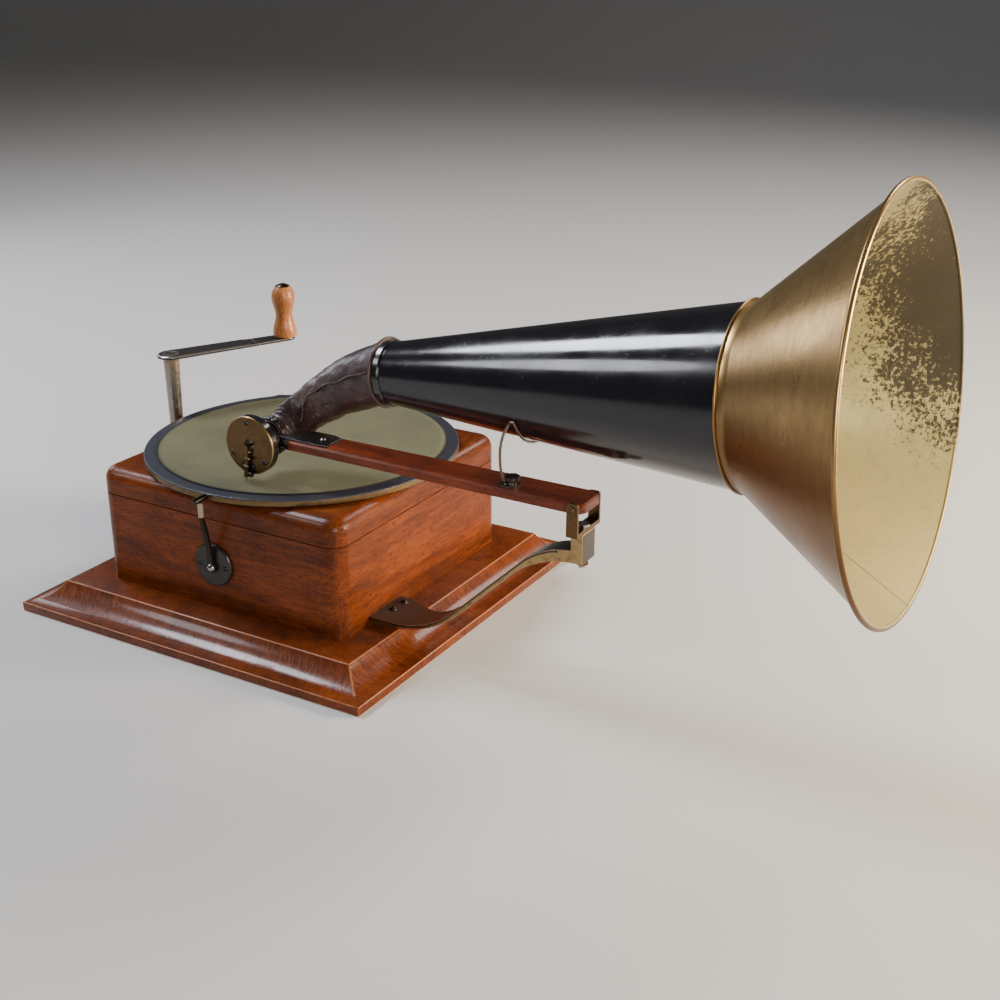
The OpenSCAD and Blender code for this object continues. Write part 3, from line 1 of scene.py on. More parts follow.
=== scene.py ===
"""Looks of a table gramophone, laid out as an add-on and run as a script.

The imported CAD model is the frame. Its hard pieces keep their shape and get new finishes here.
The horn, elbow, mat and plinth are modelled again with finer form. Lengths are metres.
"""

import json
import math

import bmesh
import bpy
from bpy.props import FloatProperty, FloatVectorProperty, IntProperty, PointerProperty
from bpy.types import Operator, Panel, PropertyGroup
from mathutils import Euler, Matrix, Vector


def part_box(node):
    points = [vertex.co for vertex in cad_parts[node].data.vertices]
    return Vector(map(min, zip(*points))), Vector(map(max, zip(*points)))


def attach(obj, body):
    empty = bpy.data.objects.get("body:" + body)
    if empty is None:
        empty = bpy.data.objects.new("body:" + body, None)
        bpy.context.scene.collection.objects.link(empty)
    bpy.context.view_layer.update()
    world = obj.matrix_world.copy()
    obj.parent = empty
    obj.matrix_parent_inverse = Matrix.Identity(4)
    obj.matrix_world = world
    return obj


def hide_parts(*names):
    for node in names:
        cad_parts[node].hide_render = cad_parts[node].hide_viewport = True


bl_info = {
    "name": "Table gramophone",
    "version": (1, 0, 0),
    "blender": (4, 5, 0),
    "location": "View3D > Sidebar > Gramophone",
    "description": "Builds a table gramophone's visible pieces and finishes around its CAD frame",
    "category": "Object",
}

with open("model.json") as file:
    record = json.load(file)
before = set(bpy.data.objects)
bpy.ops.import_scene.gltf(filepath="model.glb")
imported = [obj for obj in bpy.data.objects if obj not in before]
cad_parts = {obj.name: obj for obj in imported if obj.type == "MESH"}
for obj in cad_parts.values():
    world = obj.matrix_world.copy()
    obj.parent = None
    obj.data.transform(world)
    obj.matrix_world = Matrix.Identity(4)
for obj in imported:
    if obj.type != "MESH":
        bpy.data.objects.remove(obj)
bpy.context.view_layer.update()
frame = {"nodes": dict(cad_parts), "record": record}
NODES = frame["nodes"]
MM = 0.001

# Places taken from the frame, so that the new pieces follow the CAD

MAT_LOW, MAT_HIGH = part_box("turntable_mat")
PLINTH_LOW, PLINTH_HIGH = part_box("plinth")
TABLE_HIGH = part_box("turntable")[1]
BRACKET_LOW, BRACKET_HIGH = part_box("horn_bracket")

# Sizes that the CAD model also has. LIP_AT and MOUTH_AT are distances along the horn from HORN_AT

HORN_AT = Vector((121.5, -53.0, 216.7)) * MM
CONE_LENGTH, CONE_SMALL, CONE_LARGE = 284.5 * MM, 21.65 * MM, 61.0 * MM
MOUTH_AT, MOUTH_RADIUS = 375.8 * MM, 131.0 * MM
LIP_AT = CONE_LENGTH - 6 * MM
ELBOW_LINE = [
    Vector(place) * MM
    for place in ((23.6, -72, 155.2), (22.6, -42, 155.2), (72.74, -53, 201.7), (125.5, -53, 217.3))
]
PLINTH_EDGE, COVE_WIDTH = 7.3 * MM, 26 * MM
PLINTH_OPENING = (218 * MM, 213 * MM)
MAT_HOLE = 3.3 * MM

# How finely the new pieces are made. The leather's seam lies at an angle round the elbow, in degrees

CONE_STEPS, BELL_STEPS, COVE_STEPS = 40, 30, 18
MAT_STEPS, MAT_SIDES = 24, 160
ELBOW_RINGS, ELBOW_SIDES = 84, 96
SEAM_ANGLE, SEAM_RINGS, SEAM_SIDES = -20.0, 64, 10
STITCH_COUNT = 19

# Along the elbow from 0 to 1: where it has left the neck's way, and where it starts on the horn's

NECK_LEFT, HORN_TAKEN = 0.72, 0.75

# The bracket's black strip: its height, and how far it stops short of the pivot block's far side

STRIP_HEIGHT, STRIP_STOP = 2.0 * MM, 19 * MM

# The camera at the photograph's angle, the point that the lights look at, and the paper sweep

CAMERA_AT, CAMERA_TURN = (0.700, -0.8767, 0.5271), (67.77, 0, 30.38)
LIGHTS_AIM = Vector((0.15, -0.03, 0.12))
PAPER_SIZE, PAPER_RISE, PAPER_BEND = 14, 6, 3.5


# Settings


def tint(name, description, default):
    """A colour setting."""
    return FloatVectorProperty(
        name=name, description=description, default=default, size=3, min=0, max=1, subtype="COLOR"
    )


def length(name, description, default, low, high):
    """A length setting, given in millimetres and kept in metres."""
    return FloatProperty(
        name=name, description=description, default=default * MM, min=low * MM, max=high * MM,
        subtype="DISTANCE", unit="LENGTH",
    )


class HornSettings(PropertyGroup):
    """Sizes and colours of the cone and the bell."""

    rise: FloatProperty(
        name="Rise", description="Slope of the horn's axis, upwards to the bell",
        default=math.radians(5.65), subtype="ANGLE", unit="ROTATION",
    )
    wall: length("Wall", "Thickness of the horn's sheet metal", 0.4, 0.2, 1)
    sides: IntProperty(name="Sides", description="Faces round the horn", default=144, min=48, max=256)
    brass: tint("Brass", "Colour of the bell's clean outer brass", (0.58, 0.37, 0.14))
    inside: tint("Inside", "Colour of the bell's dulled inner side", (0.40, 0.335, 0.135))
    tarnish: tint("Tarnish", "Colour of the dark patches inside the bell", (0.020, 0.012, 0.0055))
    lacquer: tint("Lacquer", "Colour of the cone's black lacquer", (0.008, 0.007, 0.010))


class WoodSettings(PropertyGroup):
    """Colours of the timber pieces."""

    case_dark: tint("Case dark", "Dark grain of the case and plinth", (0.026, 0.0036, 0.0012))
    case_light: tint("Case light", "Light grain of the case and plinth", (0.25, 0.052, 0.006))
    arm_dark: tint("Arm dark", "Dark grain of the travelling arm", (0.040, 0.005, 0.0015))
    arm_light: tint("Arm light", "Light grain of the travelling arm", (0.24, 0.040, 0.007))
    grip_dark: tint("Grip dark", "Dark grain of the crank's grip", (0.19, 0.048, 0.012))
    grip_light: tint("Grip light", "Light grain of the crank's grip", (0.60, 0.24, 0.070))
    edge_worn: tint("Worn edge", "Colour of the case's rubbed edges", (0.34, 0.12, 0.035))
    edge_round: length("Edge rounding", "Rounding of the plinth's sharp edges", 0.7, 0.1, 2)


class LeatherSettings(PropertyGroup):
    """Form and colour of the leather elbow, and the felt's colour."""

    wall: length("Wall", "Thickness of the leather", 2.0, 0.8, 3)
    crease: length("Crease depth", "Depth of the folds near the soundbox", 0.7, 0, 2)
    colour: tint("Leather", "Main colour of the leather", (0.034, 0.0135, 0.0120))
    rubbed: tint("Rubbed leather", "Colour of the leather where it is rubbed", (0.110, 0.048, 0.038))
    felt: tint("Felt", "Colour of the turntable's felt mat", (0.125, 0.122, 0.060))


class MetalSettings(PropertyGroup):
    """Colours of the fittings."""

    old_brass: tint("Old brass", "Colour of the yoke and the soundbox's face", (0.155, 0.090, 0.041))
    japan: tint("Japan black", "Colour of the black enamel on the fittings", (0.010, 0.009, 0.010))
    table_paint: tint("Turntable paint", "Colour of the ring round the mat", (0.026, 0.028, 0.040))
    steel: tint("Steel", "Colour of bright steel and nickel", (0.50, 0.49, 0.47))


class StageSettings(PropertyGroup):
    """Floor, light and camera."""

    floor: tint("Floor", "Colour of the studio floor", (0.62, 0.61, 0.595))
    key_power: FloatProperty(
        name="Key light", description="Power that the studio's lights share out", default=42, min=0,
        unit="POWER",
    )
    lens: FloatProperty(
        name="Lens", description="Focal length of the camera", default=52.09, min=20, max=200,
        unit="CAMERA",
    )


# Shader building


class Value:
    """The output of a shader node, on which sums are written as on a number."""

    def __init__(self, socket):
        self.socket = socket
        self.tree = socket.id_data

    def __add__(self, other):
        return calc("ADD", self, other)

    def __sub__(self, other):
        return calc("SUBTRACT", self, other)

    def __rsub__(self, other):
        return calc("SUBTRACT", other, self)

    def __mul__(self, other):
        return calc("MULTIPLY", self, other)

    def __lt__(self, other):
        return calc("LESS_THAN", self, other)

    def __gt__(self, other):
        return calc("GREATER_THAN", self, other)

    def __abs__(self):
        return calc("ABSOLUTE", self)

    __radd__ = __add__


def plug(node, sockets):
    """Feeds a node's inputs with values, or sets them to numbers and colours."""
    for key, value in sockets.items():
        socket = node.inputs[key]
        if isinstance(value, Value):
            value.tree.links.new(value.socket, socket)
        elif socket.type == "RGBA":
            socket.default_value = (*value, 1.0)
        else:
            socket.default_value = value


def shader_node(kind, sockets, output=0, **settings):
    """A new node beside the values that feed it. Gives back one of its outputs."""
    tree = next(value.tree for value in sockets.values() if isinstance(value, Value))
    node = tree.nodes.new(kind)
    for key, value in settings.items():
        setattr(node, key, value)
    plug(node, sockets)
    return Value(node.outputs[output])


def calc(operation, a, b=0.5):
    return shader_node("ShaderNodeMath", {0: a, 1: b}, operation=operation)


def clamped(value):
    """The sum, kept between 0 and 1."""
    value.socket.node.use_clamp = True
    return value


def mix(share, a, b):
    """Colour a, turning to colour b with its share."""
    return shader_node("ShaderNodeMix", {0: share, 6: a, 7: b}, 2, data_type="RGBA")


def blend(share, a, b):
    """Number a, turning to number b with its share."""
    return shader_node("ShaderNodeMix", {0: share, 2: a, 3: b}, data_type="FLOAT")


def spread(value, low, high, to_low=0.0, to_high=1.0):
    """The range low to high of a value, eased to a new range."""
    return shader_node(
        "ShaderNodeMapRange",
        {"Value": value, "From Min": low, "From Max": high, "To Min": to_low, "To Max": to_high},
        interpolation_type="SMOOTHSTEP",
    )


def noise(vector, scale, detail, roughness, distortion=0.0):
    return shader_node(
        "ShaderNodeTexNoise",
        {
            "Vector": vector, "Scale": scale, "Detail": detail, "Roughness": roughness,
            "Distortion": distortion,
        },
    )


def turn(vector, angles=(0, 0, 0), scale=(1, 1, 1)):
    """A vector turned by degrees and scaled."""
    rotation = tuple(math.radians(angle) for angle in angles)
    return shader_node("ShaderNodeMapping", {"Vector": vector, "Rotation": rotation, "Scale": scale})


def axes(vector):
    x = shader_node("ShaderNodeSeparateXYZ", {0: vector})
    return [Value(output) for output in x.socket.node.outputs]


def combine(x, y, z=0.0):
    return shader_node("ShaderNodeCombineXYZ", {"X": x, "Y": y, "Z": z})


def radius_of(a, b):
    """Distance from the axis that is square to both coordinates."""
    return calc("SQRT", a * a + b * b)


def shade(rgb, share):
    """A colour made darker."""
    return [part * share for part in rgb]


# Shader node groups: each maker takes the inputs as values and gives the outputs by name


def timber_group(given):
    """Grain along X: bands, fibres and short dark pores."""
    stretched = turn(given["Vector"], scale=(0.12, 1, 1))
    broad = noise(stretched, given["Bands"], 3, 0.5, 0.35)
    rings = spread(calc("SINE", broad * 46.0), -1, 1)
    fibre = noise(stretched, given["Fibres"], 6, 0.7)
    dashes = turn(given["Vector"], scale=(0.16, 1, 1))
    pore = spread(noise(dashes, given["Fibres"] * 2.9, 1, 0.5), 0.57, 0.66)
    share = blend(given["Figure"], spread(broad, 0.05, 0.75), rings)
    share = blend(0.42, share, spread(fibre, 0.3, 0.7))
    deep = mix(0.6, given["Dark"], (0.004, 0.001, 0.001))
    mixed = mix(pore * 0.6, mix(share, given["Dark"], given["Light"]), deep)
    return {"Color": mixed, "Gloss": fibre * 0.5, "Height": fibre * 0.6 - pore}


def patch_group(given):
    """Ragged patches: Cover 0 is none and 1 is all."""
    large = noise(given["Vector"], given["Scale"], 5, 0.6, 0.2)
    fine = noise(given["Vector"], given["Scale"] * 14.0, 4, 0.75)
    line = spread(given["Cover"], 0, 1, 0.72, 0.28)
    ragged = blend(given["Grit"], large, fine)
    return {"Mask": spread(ragged, line - given["Edge"], line + given["Edge"])}


def scratch_group(given):
    """Fine lines along X of the given vector."""
    squeeze = combine(given["Length"], 1.0, 1.0)
    stretched = shader_node(
        "ShaderNodeVectorMath", {0: given["Vector"], 1: squeeze}, operation="MULTIPLY"
    )
    return {"Mask": spread(noise(stretched, given["Scale"], 3, 0.65), 0.62, 0.70)}


def hide_group(given):
    """Leather: pebbled cells, wrinkles and rubbed places."""
    cells = shader_node("ShaderNodeTexVoronoi", {"Vector": given["Vector"], "Scale": given["Pebble"]})
    warped = noise(given["Vector"], given["Wrinkle"], 5, 0.6, 1.2)
    ridges = spread(abs(warped - 0.5), 0.0, 0.09)
    rub = noise(given["Vector"], given["Wrinkle"] * 0.55, 5, 0.65)
    return {"Rubbed": spread(rub, 0.45, 0.66), "Height": cells * 0.18 + ridges * 0.35}


# Maker, inputs with their defaults (None is a vector), and outputs

GROUPS = {
    "Timber": (
        timber_group,
        {
            "Vector": None, "Dark": (0.1, 0.02, 0.01, 1), "Light": (0.3, 0.1, 0.04, 1),
            "Bands": 26.0, "Fibres": 330.0, "Figure": 0.35,
        },
        ("Color", "Gloss", "Height"),
    ),
    "Patches": (
        patch_group, {"Vector": None, "Scale": 30.0, "Cover": 0.4, "Grit": 0.35, "Edge": 0.05}, ("Mask",)
    ),
    "Scratches": (scratch_group, {"Vector": None, "Scale": 400.0, "Length": 0.03}, ("Mask",)),
    "Hide": (hide_group, {"Vector": None, "Pebble": 700.0, "Wrinkle": 60.0}, ("Rubbed", "Height")),
}

# Kinds of the groups' sockets, where every other one is a number

SOCKET_KINDS = {
    "Vector": "NodeSocketVector", "Dark": "NodeSocketColor", "Light": "NodeSocketColor",
    "Color": "NodeSocketColor",
}


def socket_kind(key):
    return SOCKET_KINDS.get(key, "NodeSocketFloat")


def node_group(name):
    """The shader node group of that name, built when it is first asked for."""
    if name in bpy.data.node_groups:
        return bpy.data.node_groups[name]
    maker, inputs, outputs = GROUPS[name]
    group = bpy.data.node_groups.new(name, "ShaderNodeTree")
    for key, default in inputs.items():
        socket = group.interface.new_socket(name=key, in_out="INPUT", socket_type=socket_kind(key))
        if default is not None:
            socket.default_value = default
    for key in outputs:
        group.interface.new_socket(name=key, in_out="OUTPUT", socket_type=socket_kind(key))
    way_in, way_out = group.nodes.new("NodeGroupInput"), group.nodes.new("NodeGroupOutput")
    plug(way_out, maker({key: Value(way_in.outputs[key]) for key in inputs}))
    return group


def use_group(name, **sockets):
    """Places a node group with its own values. Gives its outputs by name."""
    first = shader_node("ShaderNodeGroup", {"Vector": sockets["Vector"]}, node_tree=node_group(name))
    node = first.socket.node
    plug(node, sockets)
    return {output.name: Value(output) for output in node.outputs}


def patches(made, scale, cover, grit, edge):
    """Mask of ragged patches on a finish."""
    outputs = use_group("Patches", Vector=made.place, Scale=scale, Cover=cover, Grit=grit, Edge=edge)
    return outputs["Mask"]


def scratches(made, angles, scale, reach):
    """Mask of fine lines on a finish, turned by the angles."""
    return use_group("Scratches", Vector=made.turned(angles), Scale=scale, Length=reach)["Mask"]


# Finishes


class Finish:
    """A material under way: its shader, and the object coordinates as its place."""

    def __init__(self, name, **sockets):
        self.material = bpy.data.materials.new(name)
        self.material.use_nodes = True
        tree = self.material.node_tree
        self.shader = tree.nodes["Principled BSDF"]
        self.place = Value(tree.nodes.new("ShaderNodeTexCoord").outputs["Object"])
        self.feed(**sockets)

    def feed(self, **sockets):
        """Sets or feeds the shader's sockets, with _ for each blank in their names."""
        plug(self.shader, {key.replace("_", " "): value for key, value in sockets.items()})

    def bump(self, height, distance, strength):
        sockets = {"Height": height, "Distance": distance, "Strength": strength}
        self.feed(Normal=shader_node("ShaderNodeBump", sockets))

    def turned(self, angles, centre=(0, 0, 0)):
        """The object coordinates, moved to a centre and turned."""
        sockets = {0: self.place, 1: tuple(centre)}
        return turn(shader_node("ShaderNodeVectorMath", sockets, operation="SUBTRACT"), angles)

    def boards(self, half_gap, slope):
        """Coordinates whose X follows the board: along X at the front and back, along Y at the sides.

        A slope turns the grain up the moulding, by that many degrees from the upright.
        """
        x, y, z = axes(self.place)
        across = abs(x)
        deep = abs(y) + half_gap
        ends = {0: across > deep, 4: combine(x, deep, z), 5: combine(y, across, z)}
        made = shader_node("ShaderNodeMix", ends, 1, data_type="VECTOR")
        return made if slope is None else turn(made, (40, 0, slope - 90))


def timber(name, dark, light, vector=None, gloss=0.26, coat=0.35, bands=26.0, fibres=330.0, figure=0.35,
           relief=0.12 * MM, shine=0.3):
    """Polished wood."""
    made = Finish(name, Coat_Roughness=0.14, Coat_Weight=coat, Specular_IOR_Level=shine)
    grain = use_group(
        "Timber", Vector=vector(made) if vector else made.place, Dark=dark, Light=light, Bands=bands,
        Fibres=fibres, Figure=figure,
    )
    dull = noise(made.place, 22.0, 5, 0.65)
    made.feed(
        Base_Color=mix(spread(dull, 0.35, 0.7, 0.0, 0.35), grain["Color"], shade(dark, 0.55)),
        Roughness=grain["Gloss"] * 0.22 + (gloss - 0.06) + spread(dull, 0.35, 0.75, 0.0, 0.16),
    )
    made.bump(grain["Height"], relief, 0.55)
    return made.material


def case_wood(name, half_gap=2.5 * MM, slope=None, coat=0.10, relief=0.12 * MM):
    """The case's and the plinth's mahogany."""
    sizes = bpy.context.scene.gramophone_wood
    return timber(
        name, sizes.case_dark, sizes.case_light, lambda made: made.boards(half_gap, slope), gloss=0.30,
        coat=coat, bands=24.0, figure=0.25, relief=relief, shine=0.16,
    )


def edge_wood(name):
    """Rubbed edge: the pale worn colour broken by the polish."""
    sizes = bpy.context.scene.gramophone_wood
    made = Finish(name)
    rub = patches(made, 90.0, 0.50, 0.5, 0.10)
    made.feed(
        Base_Color=mix(rub, sizes.case_light, sizes.edge_worn), Roughness=spread(rub, 0, 1, 0.30, 0.50)
    )
    return made.material


def worn_metal(name, base, worn, cover=0.35, scale=60.0, metallic=(1.0, 1.0), gloss=(0.3, 0.5),
               coat=0.0, grit=0.4, edge=0.05, bare=None):
    """Metal or enamel with worn patches of a second colour.

    Metallic and gloss are pairs, clean and worn. Bare is a colour and a function for the mask of
    the metal that is left unpainted.
    """
    made = Finish(name, Coat_Roughness=0.08, Coat_Weight=coat)
    mask = patches(made, scale, cover, grit, edge)
    fine = noise(made.place, scale * 9, 4, 0.7)
    lines = scratches(made, (20, 10, 35), 900.0, 0.05)
    tone = mix(spread(fine, 0.3, 0.8, 0.0, 0.4), mix(mask, base, worn), shade(base, 0.45))
    rough = blend(mask, *gloss) + spread(fine, 0.3, 0.8, -0.05, 0.14)
    rough = clamped(rough + lines * 0.12)
    metal = blend(mask, *metallic)
    if bare:
        colour, uncovered = bare
        stain = patches(made, 160.0, 0.4, 0.5, 0.08)
        share = uncovered(made)
        tone = mix(share, tone, mix(stain, colour, shade(colour, 0.35)))
        rough = blend(share, rough, 0.42)
        metal = blend(share, metal, 1.0)
        made.feed(Coat_Weight=(1 - share) * coat)
    made.feed(Base_Color=tone, Roughness=rough, Metallic=metal)
    made.bump(fine * 0.5 - mask, 0.03 * MM, 0.7)
    return made.material


def worn_plain(name, base, worn, **more):
    """The same wear on something that isn't metal."""
    return worn_metal(name, base, worn, metallic=(0.0, 0.0), **more)


def cone_lacquer(sizes):
    """Black lacquer with chips along the middle of the cone."""
    made = Finish("Horn lacquer", Coat_Roughness=0.05)
    x = axes(made.turned((0, math.degrees(sizes.rise), 0), HORN_AT))[0]
    middle = clamped(1 - abs((x - 0.135) * 7.5))
    chips = patches(made, 75.0, 0.12, 0.55, 0.012) * (middle * 0.9 + 0.1)
    scuffs = scratches(made, (35, 20, 60), 300.0, 0.04)
    haze = noise(made.place, 26.0, 5, 0.6)
    made.feed(
        Base_Color=mix(chips, sizes.lacquer, (0.16, 0.12, 0.085)),
        Roughness=blend(chips, spread(haze, 0.3, 0.75, 0.11, 0.24) + scuffs * 0.12, 0.55),
        Metallic=chips * 0.7,
        Coat_Weight=0.2 - chips * 0.2,
    )
    made.bump(noise(made.place, 9.0, 2, 0.4) * 6.0 - chips * 0.4, 0.10 * MM, 0.6)
    return made.material


def bell_brass(sizes, inside):
    """Spun brass: brushed outside and darkened towards its lower side as painted shade, tarnished
    towards the top inside.
    """
    made = Finish("Bell inside" if inside else "Bell outside", Metallic=0.9)
    x, y, z = axes(made.turned((0, math.degrees(sizes.rise), 0), HORN_AT))
    radius = radius_of(y, z)
    rings = noise(combine(radius, x * 0.4), 900.0, 4, 0.7)
    cloud = noise(made.place, 14.0, 6, 0.62)
    if inside:
        stain = patches(made, 24.0, clamped(0.03 + (z * 2.6 + y * 5.0)), 0.60, 0.035)
        dark = calc("MAXIMUM", stain * 0.92, patches(made, 140.0, 0.36, 0.65, 0.03) * 0.5)
        tone = mix(spread(cloud, 0.3, 0.7), sizes.inside, shade(sizes.inside, 0.78))
        tone = mix(dark, tone, sizes.tarnish)
        seam = (abs(y - radius * 0.05) < 0.45 * MM) * (z < 0.0)
        tone = mix(seam * 0.7, tone, sizes.tarnish)
        rough = spread(cloud, 0.3, 0.7, 0.42, 0.54) + dark * 0.18
        made.feed(Metallic=0.62 - dark * 0.2)
    else:
        spots = patches(made, 45.0, 0.26, 0.6, 0.06)
        brushed = noise(combine(x * 18.0, calc("ARCTAN2", z, y) * 0.55), 9.0, 6, 0.75)
        # Painted shade: the outside is darkened towards its lower side, where less light falls.
        below = spread(z, -60 * MM, 70 * MM, 1.0, 0.0)
        tone = mix(spread(cloud, 0.3, 0.7, 0, 0.6), sizes.brass, shade(sizes.brass, 0.66))
        tone = mix(below * 0.90, tone, (0.085, 0.030, 0.010))
        tone = mix(spread(brushed, 0.35, 0.75, 0.0, 0.45), tone, (0.14, 0.075, 0.035))
        tone = mix(spots * 0.55, tone, (0.16, 0.08, 0.035))
        rough = spread(cloud, 0.3, 0.7, 0.17, 0.27) + spots * 0.15 + brushed * 0.08
    made.feed(Base_Color=tone, Roughness=clamped(rough + rings * 0.06))
    made.bump(rings * 0.12 + noise(made.place, 18.0, 2, 0.5) * 2.2, 0.09 * MM, 0.6)
    return made.material


def leather(sizes, name, strength=1.0):
    """Old leather, whose colours are made lighter or darker by their strength."""
    made = Finish(name, Coat_Weight=0.45, Coat_Roughness=0.24, Specular_IOR_Level=0.4)
    hide = use_group("Hide", Vector=made.place, Pebble=900.0, Wrinkle=75.0)
    cloud = noise(made.place, 30.0, 4, 0.6)
    tone = mix(hide["Rubbed"] * 0.55, shade(sizes.colour, strength), shade(sizes.rubbed, strength))
    made.feed(
        Base_Color=mix(spread(cloud, 0.35, 0.7, 0, 0.5), tone, shade(sizes.colour, 0.4 * strength)),
        Roughness=spread(cloud, 0.3, 0.7, 0.38, 0.52) + hide["Rubbed"] * 0.10,
    )
    made.bump(hide["Height"], 0.35 * MM, 0.8)
    return made.material


def mat_felt(sizes):
    """Faded felt, with painted shadow as a dark band round its outer edge."""
    made = Finish(
        "Mat felt", Roughness=0.95, Sheen_Weight=0.08, Sheen_Roughness=0.6, Specular_IOR_Level=0.2
    )
    fuzz = noise(made.place, 1800.0, 4, 0.75)
    cloud = noise(made.place, 13.0, 6, 0.65)
    tone = mix(spread(cloud, 0.3, 0.7), sizes.felt, shade(sizes.felt, 0.68))
    tone = mix(spread(fuzz, 0.3, 0.75, 0, 0.5), tone, shade(sizes.felt, 0.5))
    tone = mix(patches(made, 170.0, 0.25, 0.5, 0.03) * 0.35, tone, (0.30, 0.28, 0.18))
    x, y, _ = axes(made.place)
    # Painted shadow: the outer band of the felt is darkened, as the mat's side and the gap below it fall
    # in shade.
    rim = spread(radius_of(x, y), MAT_HIGH.x - 1.9 * MM, MAT_HIGH.x - 1.1 * MM)
    made.feed(Base_Color=mix(rim, tone, (0.012, 0.011, 0.010)))
    made.bump(fuzz + cloud * 0.5, 0.25 * MM, 0.8)
    return made.material


# Masks of metal that is left unpainted


def table_edge(made):
    """The turntable's turned rim, below its painted top."""
    x, y, z = axes(made.place)
    return (radius_of(x, y) > TABLE_HIGH.x - 0.35 * MM) * (z < TABLE_HIGH.z - 1.0 * MM)


def crank_lines(made):
    """Two turned lines on the crank arm: one round the shaft and one round the grip."""
    x, y, _ = axes(made.place)
    lines = 0.0
    for middle_x, middle_y, radius in ((-144.0, 7.7, 6.2), (-94.9, 101.6, 30.0)):
        away = radius_of(x - middle_x * MM, y - middle_y * MM)
        lines = calc("MAXIMUM", abs(away - radius * MM) < 0.5 * MM, lines)
    return lines


def bracket_top(x):
    """Height of the bracket's top edge on its near side, from the CAD node."""
    mesh = NODES["horn_bracket"].data
    heights = []
    for edge in mesh.edges:
        a, b = (mesh.vertices[i].co for i in edge.vertices)
        near = max(a.y, b.y) < BRACKET_LOW.y + 0.05 * MM
        if near and (a.x - x) * (b.x - x) <= 0 and abs(a.x - b.x) > 0.001 * MM:
            heights.append(a.z + (b.z - a.z) * (x - a.x) / (b.x - a.x))
    return max(heights)


def bracket_side(made):
    """The bracket's near side, rubbed down to brass below a black strip along the top.

    A curve holds the top edge's height along X, both as shares from 0 to 1. The edge is looked up
    a margin inside its two ends.
    """
    x, y, z = axes(made.place)
    steps, margin = 24, 0.004
    width, _, height = BRACKET_HIGH - BRACKET_LOW
    profile = shader_node("ShaderNodeFloatCurve", {"Value": (x - BRACKET_LOW.x) * (1 / width)})
    mapping = profile.socket.node.mapping
    line = mapping.curves[0]
    places = []
    for share in (i / steps for i in range(steps + 1)):
        top = bracket_top(BRACKET_LOW.x + width * min(max(share, margin), 1 - margin))
        places.append((share, (top - BRACKET_LOW.z) / height))
    line.points[0].location, line.points[-1].location = places[0], places[-1]
    for place in places[1:-1]:
        line.points.new(*place)
    mapping.update()
    below_top = profile * height + BRACKET_LOW.z - z
    strip = (below_top < STRIP_HEIGHT) * (x < BRACKET_HIGH.x - STRIP_STOP)
    return (y < BRACKET_LOW.y + 0.25 * MM) * (1 - strip)


# Modelling in edit mode


def object_mode():
    if bpy.context.object and bpy.context.object.mode != "OBJECT":
        bpy.ops.object.mode_set(mode="OBJECT")


def only(piece):
    """Selects this piece alone, in object mode."""
    object_mode()
    bpy.ops.object.select_all(action="DESELECT")
    piece.select_set(True)
    bpy.context.view_layer.objects.active = piece


def start(name, primitive, **given):
    """A new primitive in edit mode, with everything selected."""
    object_mode()
    bpy.ops.object.select_all(action="DESELECT")
    primitive(**given)
    piece = bpy.context.object
    piece.name = name
    piece.data.name = name
    bpy.ops.object.mode_set(mode="EDIT")
    bpy.context.tool_settings.mesh_select_mode = (True, False, False)
    bpy.ops.mesh.select_all(action="SELECT")
    return piece


def pick(piece, test, kind="VERT"):
    """Selects the vertices, edges or faces whose middle passes the test."""
    modes = ("VERT", "EDGE", "FACE")
    bpy.context.tool_settings.mesh_select_mode = [kind == m for m in modes]
    bpy.ops.mesh.select_all(action="DESELECT")
    mesh = bmesh.from_edit_mesh(piece.data)
    if kind == "VERT":
        for vert in mesh.verts:
            vert.select_set(test(vert.co))
    elif kind == "EDGE":
        for edge in mesh.edges:
            edge.select_set(test((edge.verts[0].co + edge.verts[1].co) / 2, edge))
    else:
        for face in mesh.faces:
            face.select_set(test(face.calc_center_median(), face.normal))
    mesh.select_flush_mode()
    bmesh.update_edit_mesh(piece.data)


def pick_rings(piece, low, high):
    """Selects the edges between vertices low to high, in the order in which they were made."""
    bpy.ops.mesh.select_all(action="DESELECT")
    mesh = bmesh.from_edit_mesh(piece.data)
    mesh.verts.ensure_lookup_table()
    for vert in mesh.verts[low:high]:
        for edge in vert.link_edges:
            if all(low <= v.index < high for v in edge.verts):
                edge.select_set(True)
    bmesh.update_edit_mesh(piece.data)


def extrude(x, y, z):
    bpy.ops.mesh.extrude_region_move(TRANSFORM_OT_translate={"value": (x, y, z)})


def resize(x, y, z=1):
    """Scales what is selected about the origin."""
    bpy.ops.transform.resize(value=(x, y, z), center_override=(0, 0, 0))


def all_round():
    """Merges doubles and turns every face outwards."""
    bpy.ops.mesh.select_all(action="SELECT")
    bpy.ops.mesh.remove_doubles(threshold=0.002 * MM)
    bpy.ops.mesh.normals_make_consistent(inside=False)


def settle(piece, matrix=None, smooth=32):
    """Puts the piece in its place in the row frame, with its object at the origin."""
    only(piece)
    if matrix is not None:
        piece.matrix_world = matrix @ piece.matrix_world
    bpy.ops.object.transform_apply(location=True, rotation=True, scale=True)
    bpy.ops.object.shade_smooth_by_angle(angle=math.radians(smooth))


def give(piece, slot, body, *materials, stands_for=()):
    """Finishes, CAD body and the CAD nodes that the piece stands for. The slot is not used."""
    for index, material in enumerate(materials):
        if index < len(piece.data.materials):
            piece.data.materials[index] = material
        else:
            piece.data.materials.append(material)
    if stands_for:
        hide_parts(*stands_for)
    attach(piece, body)


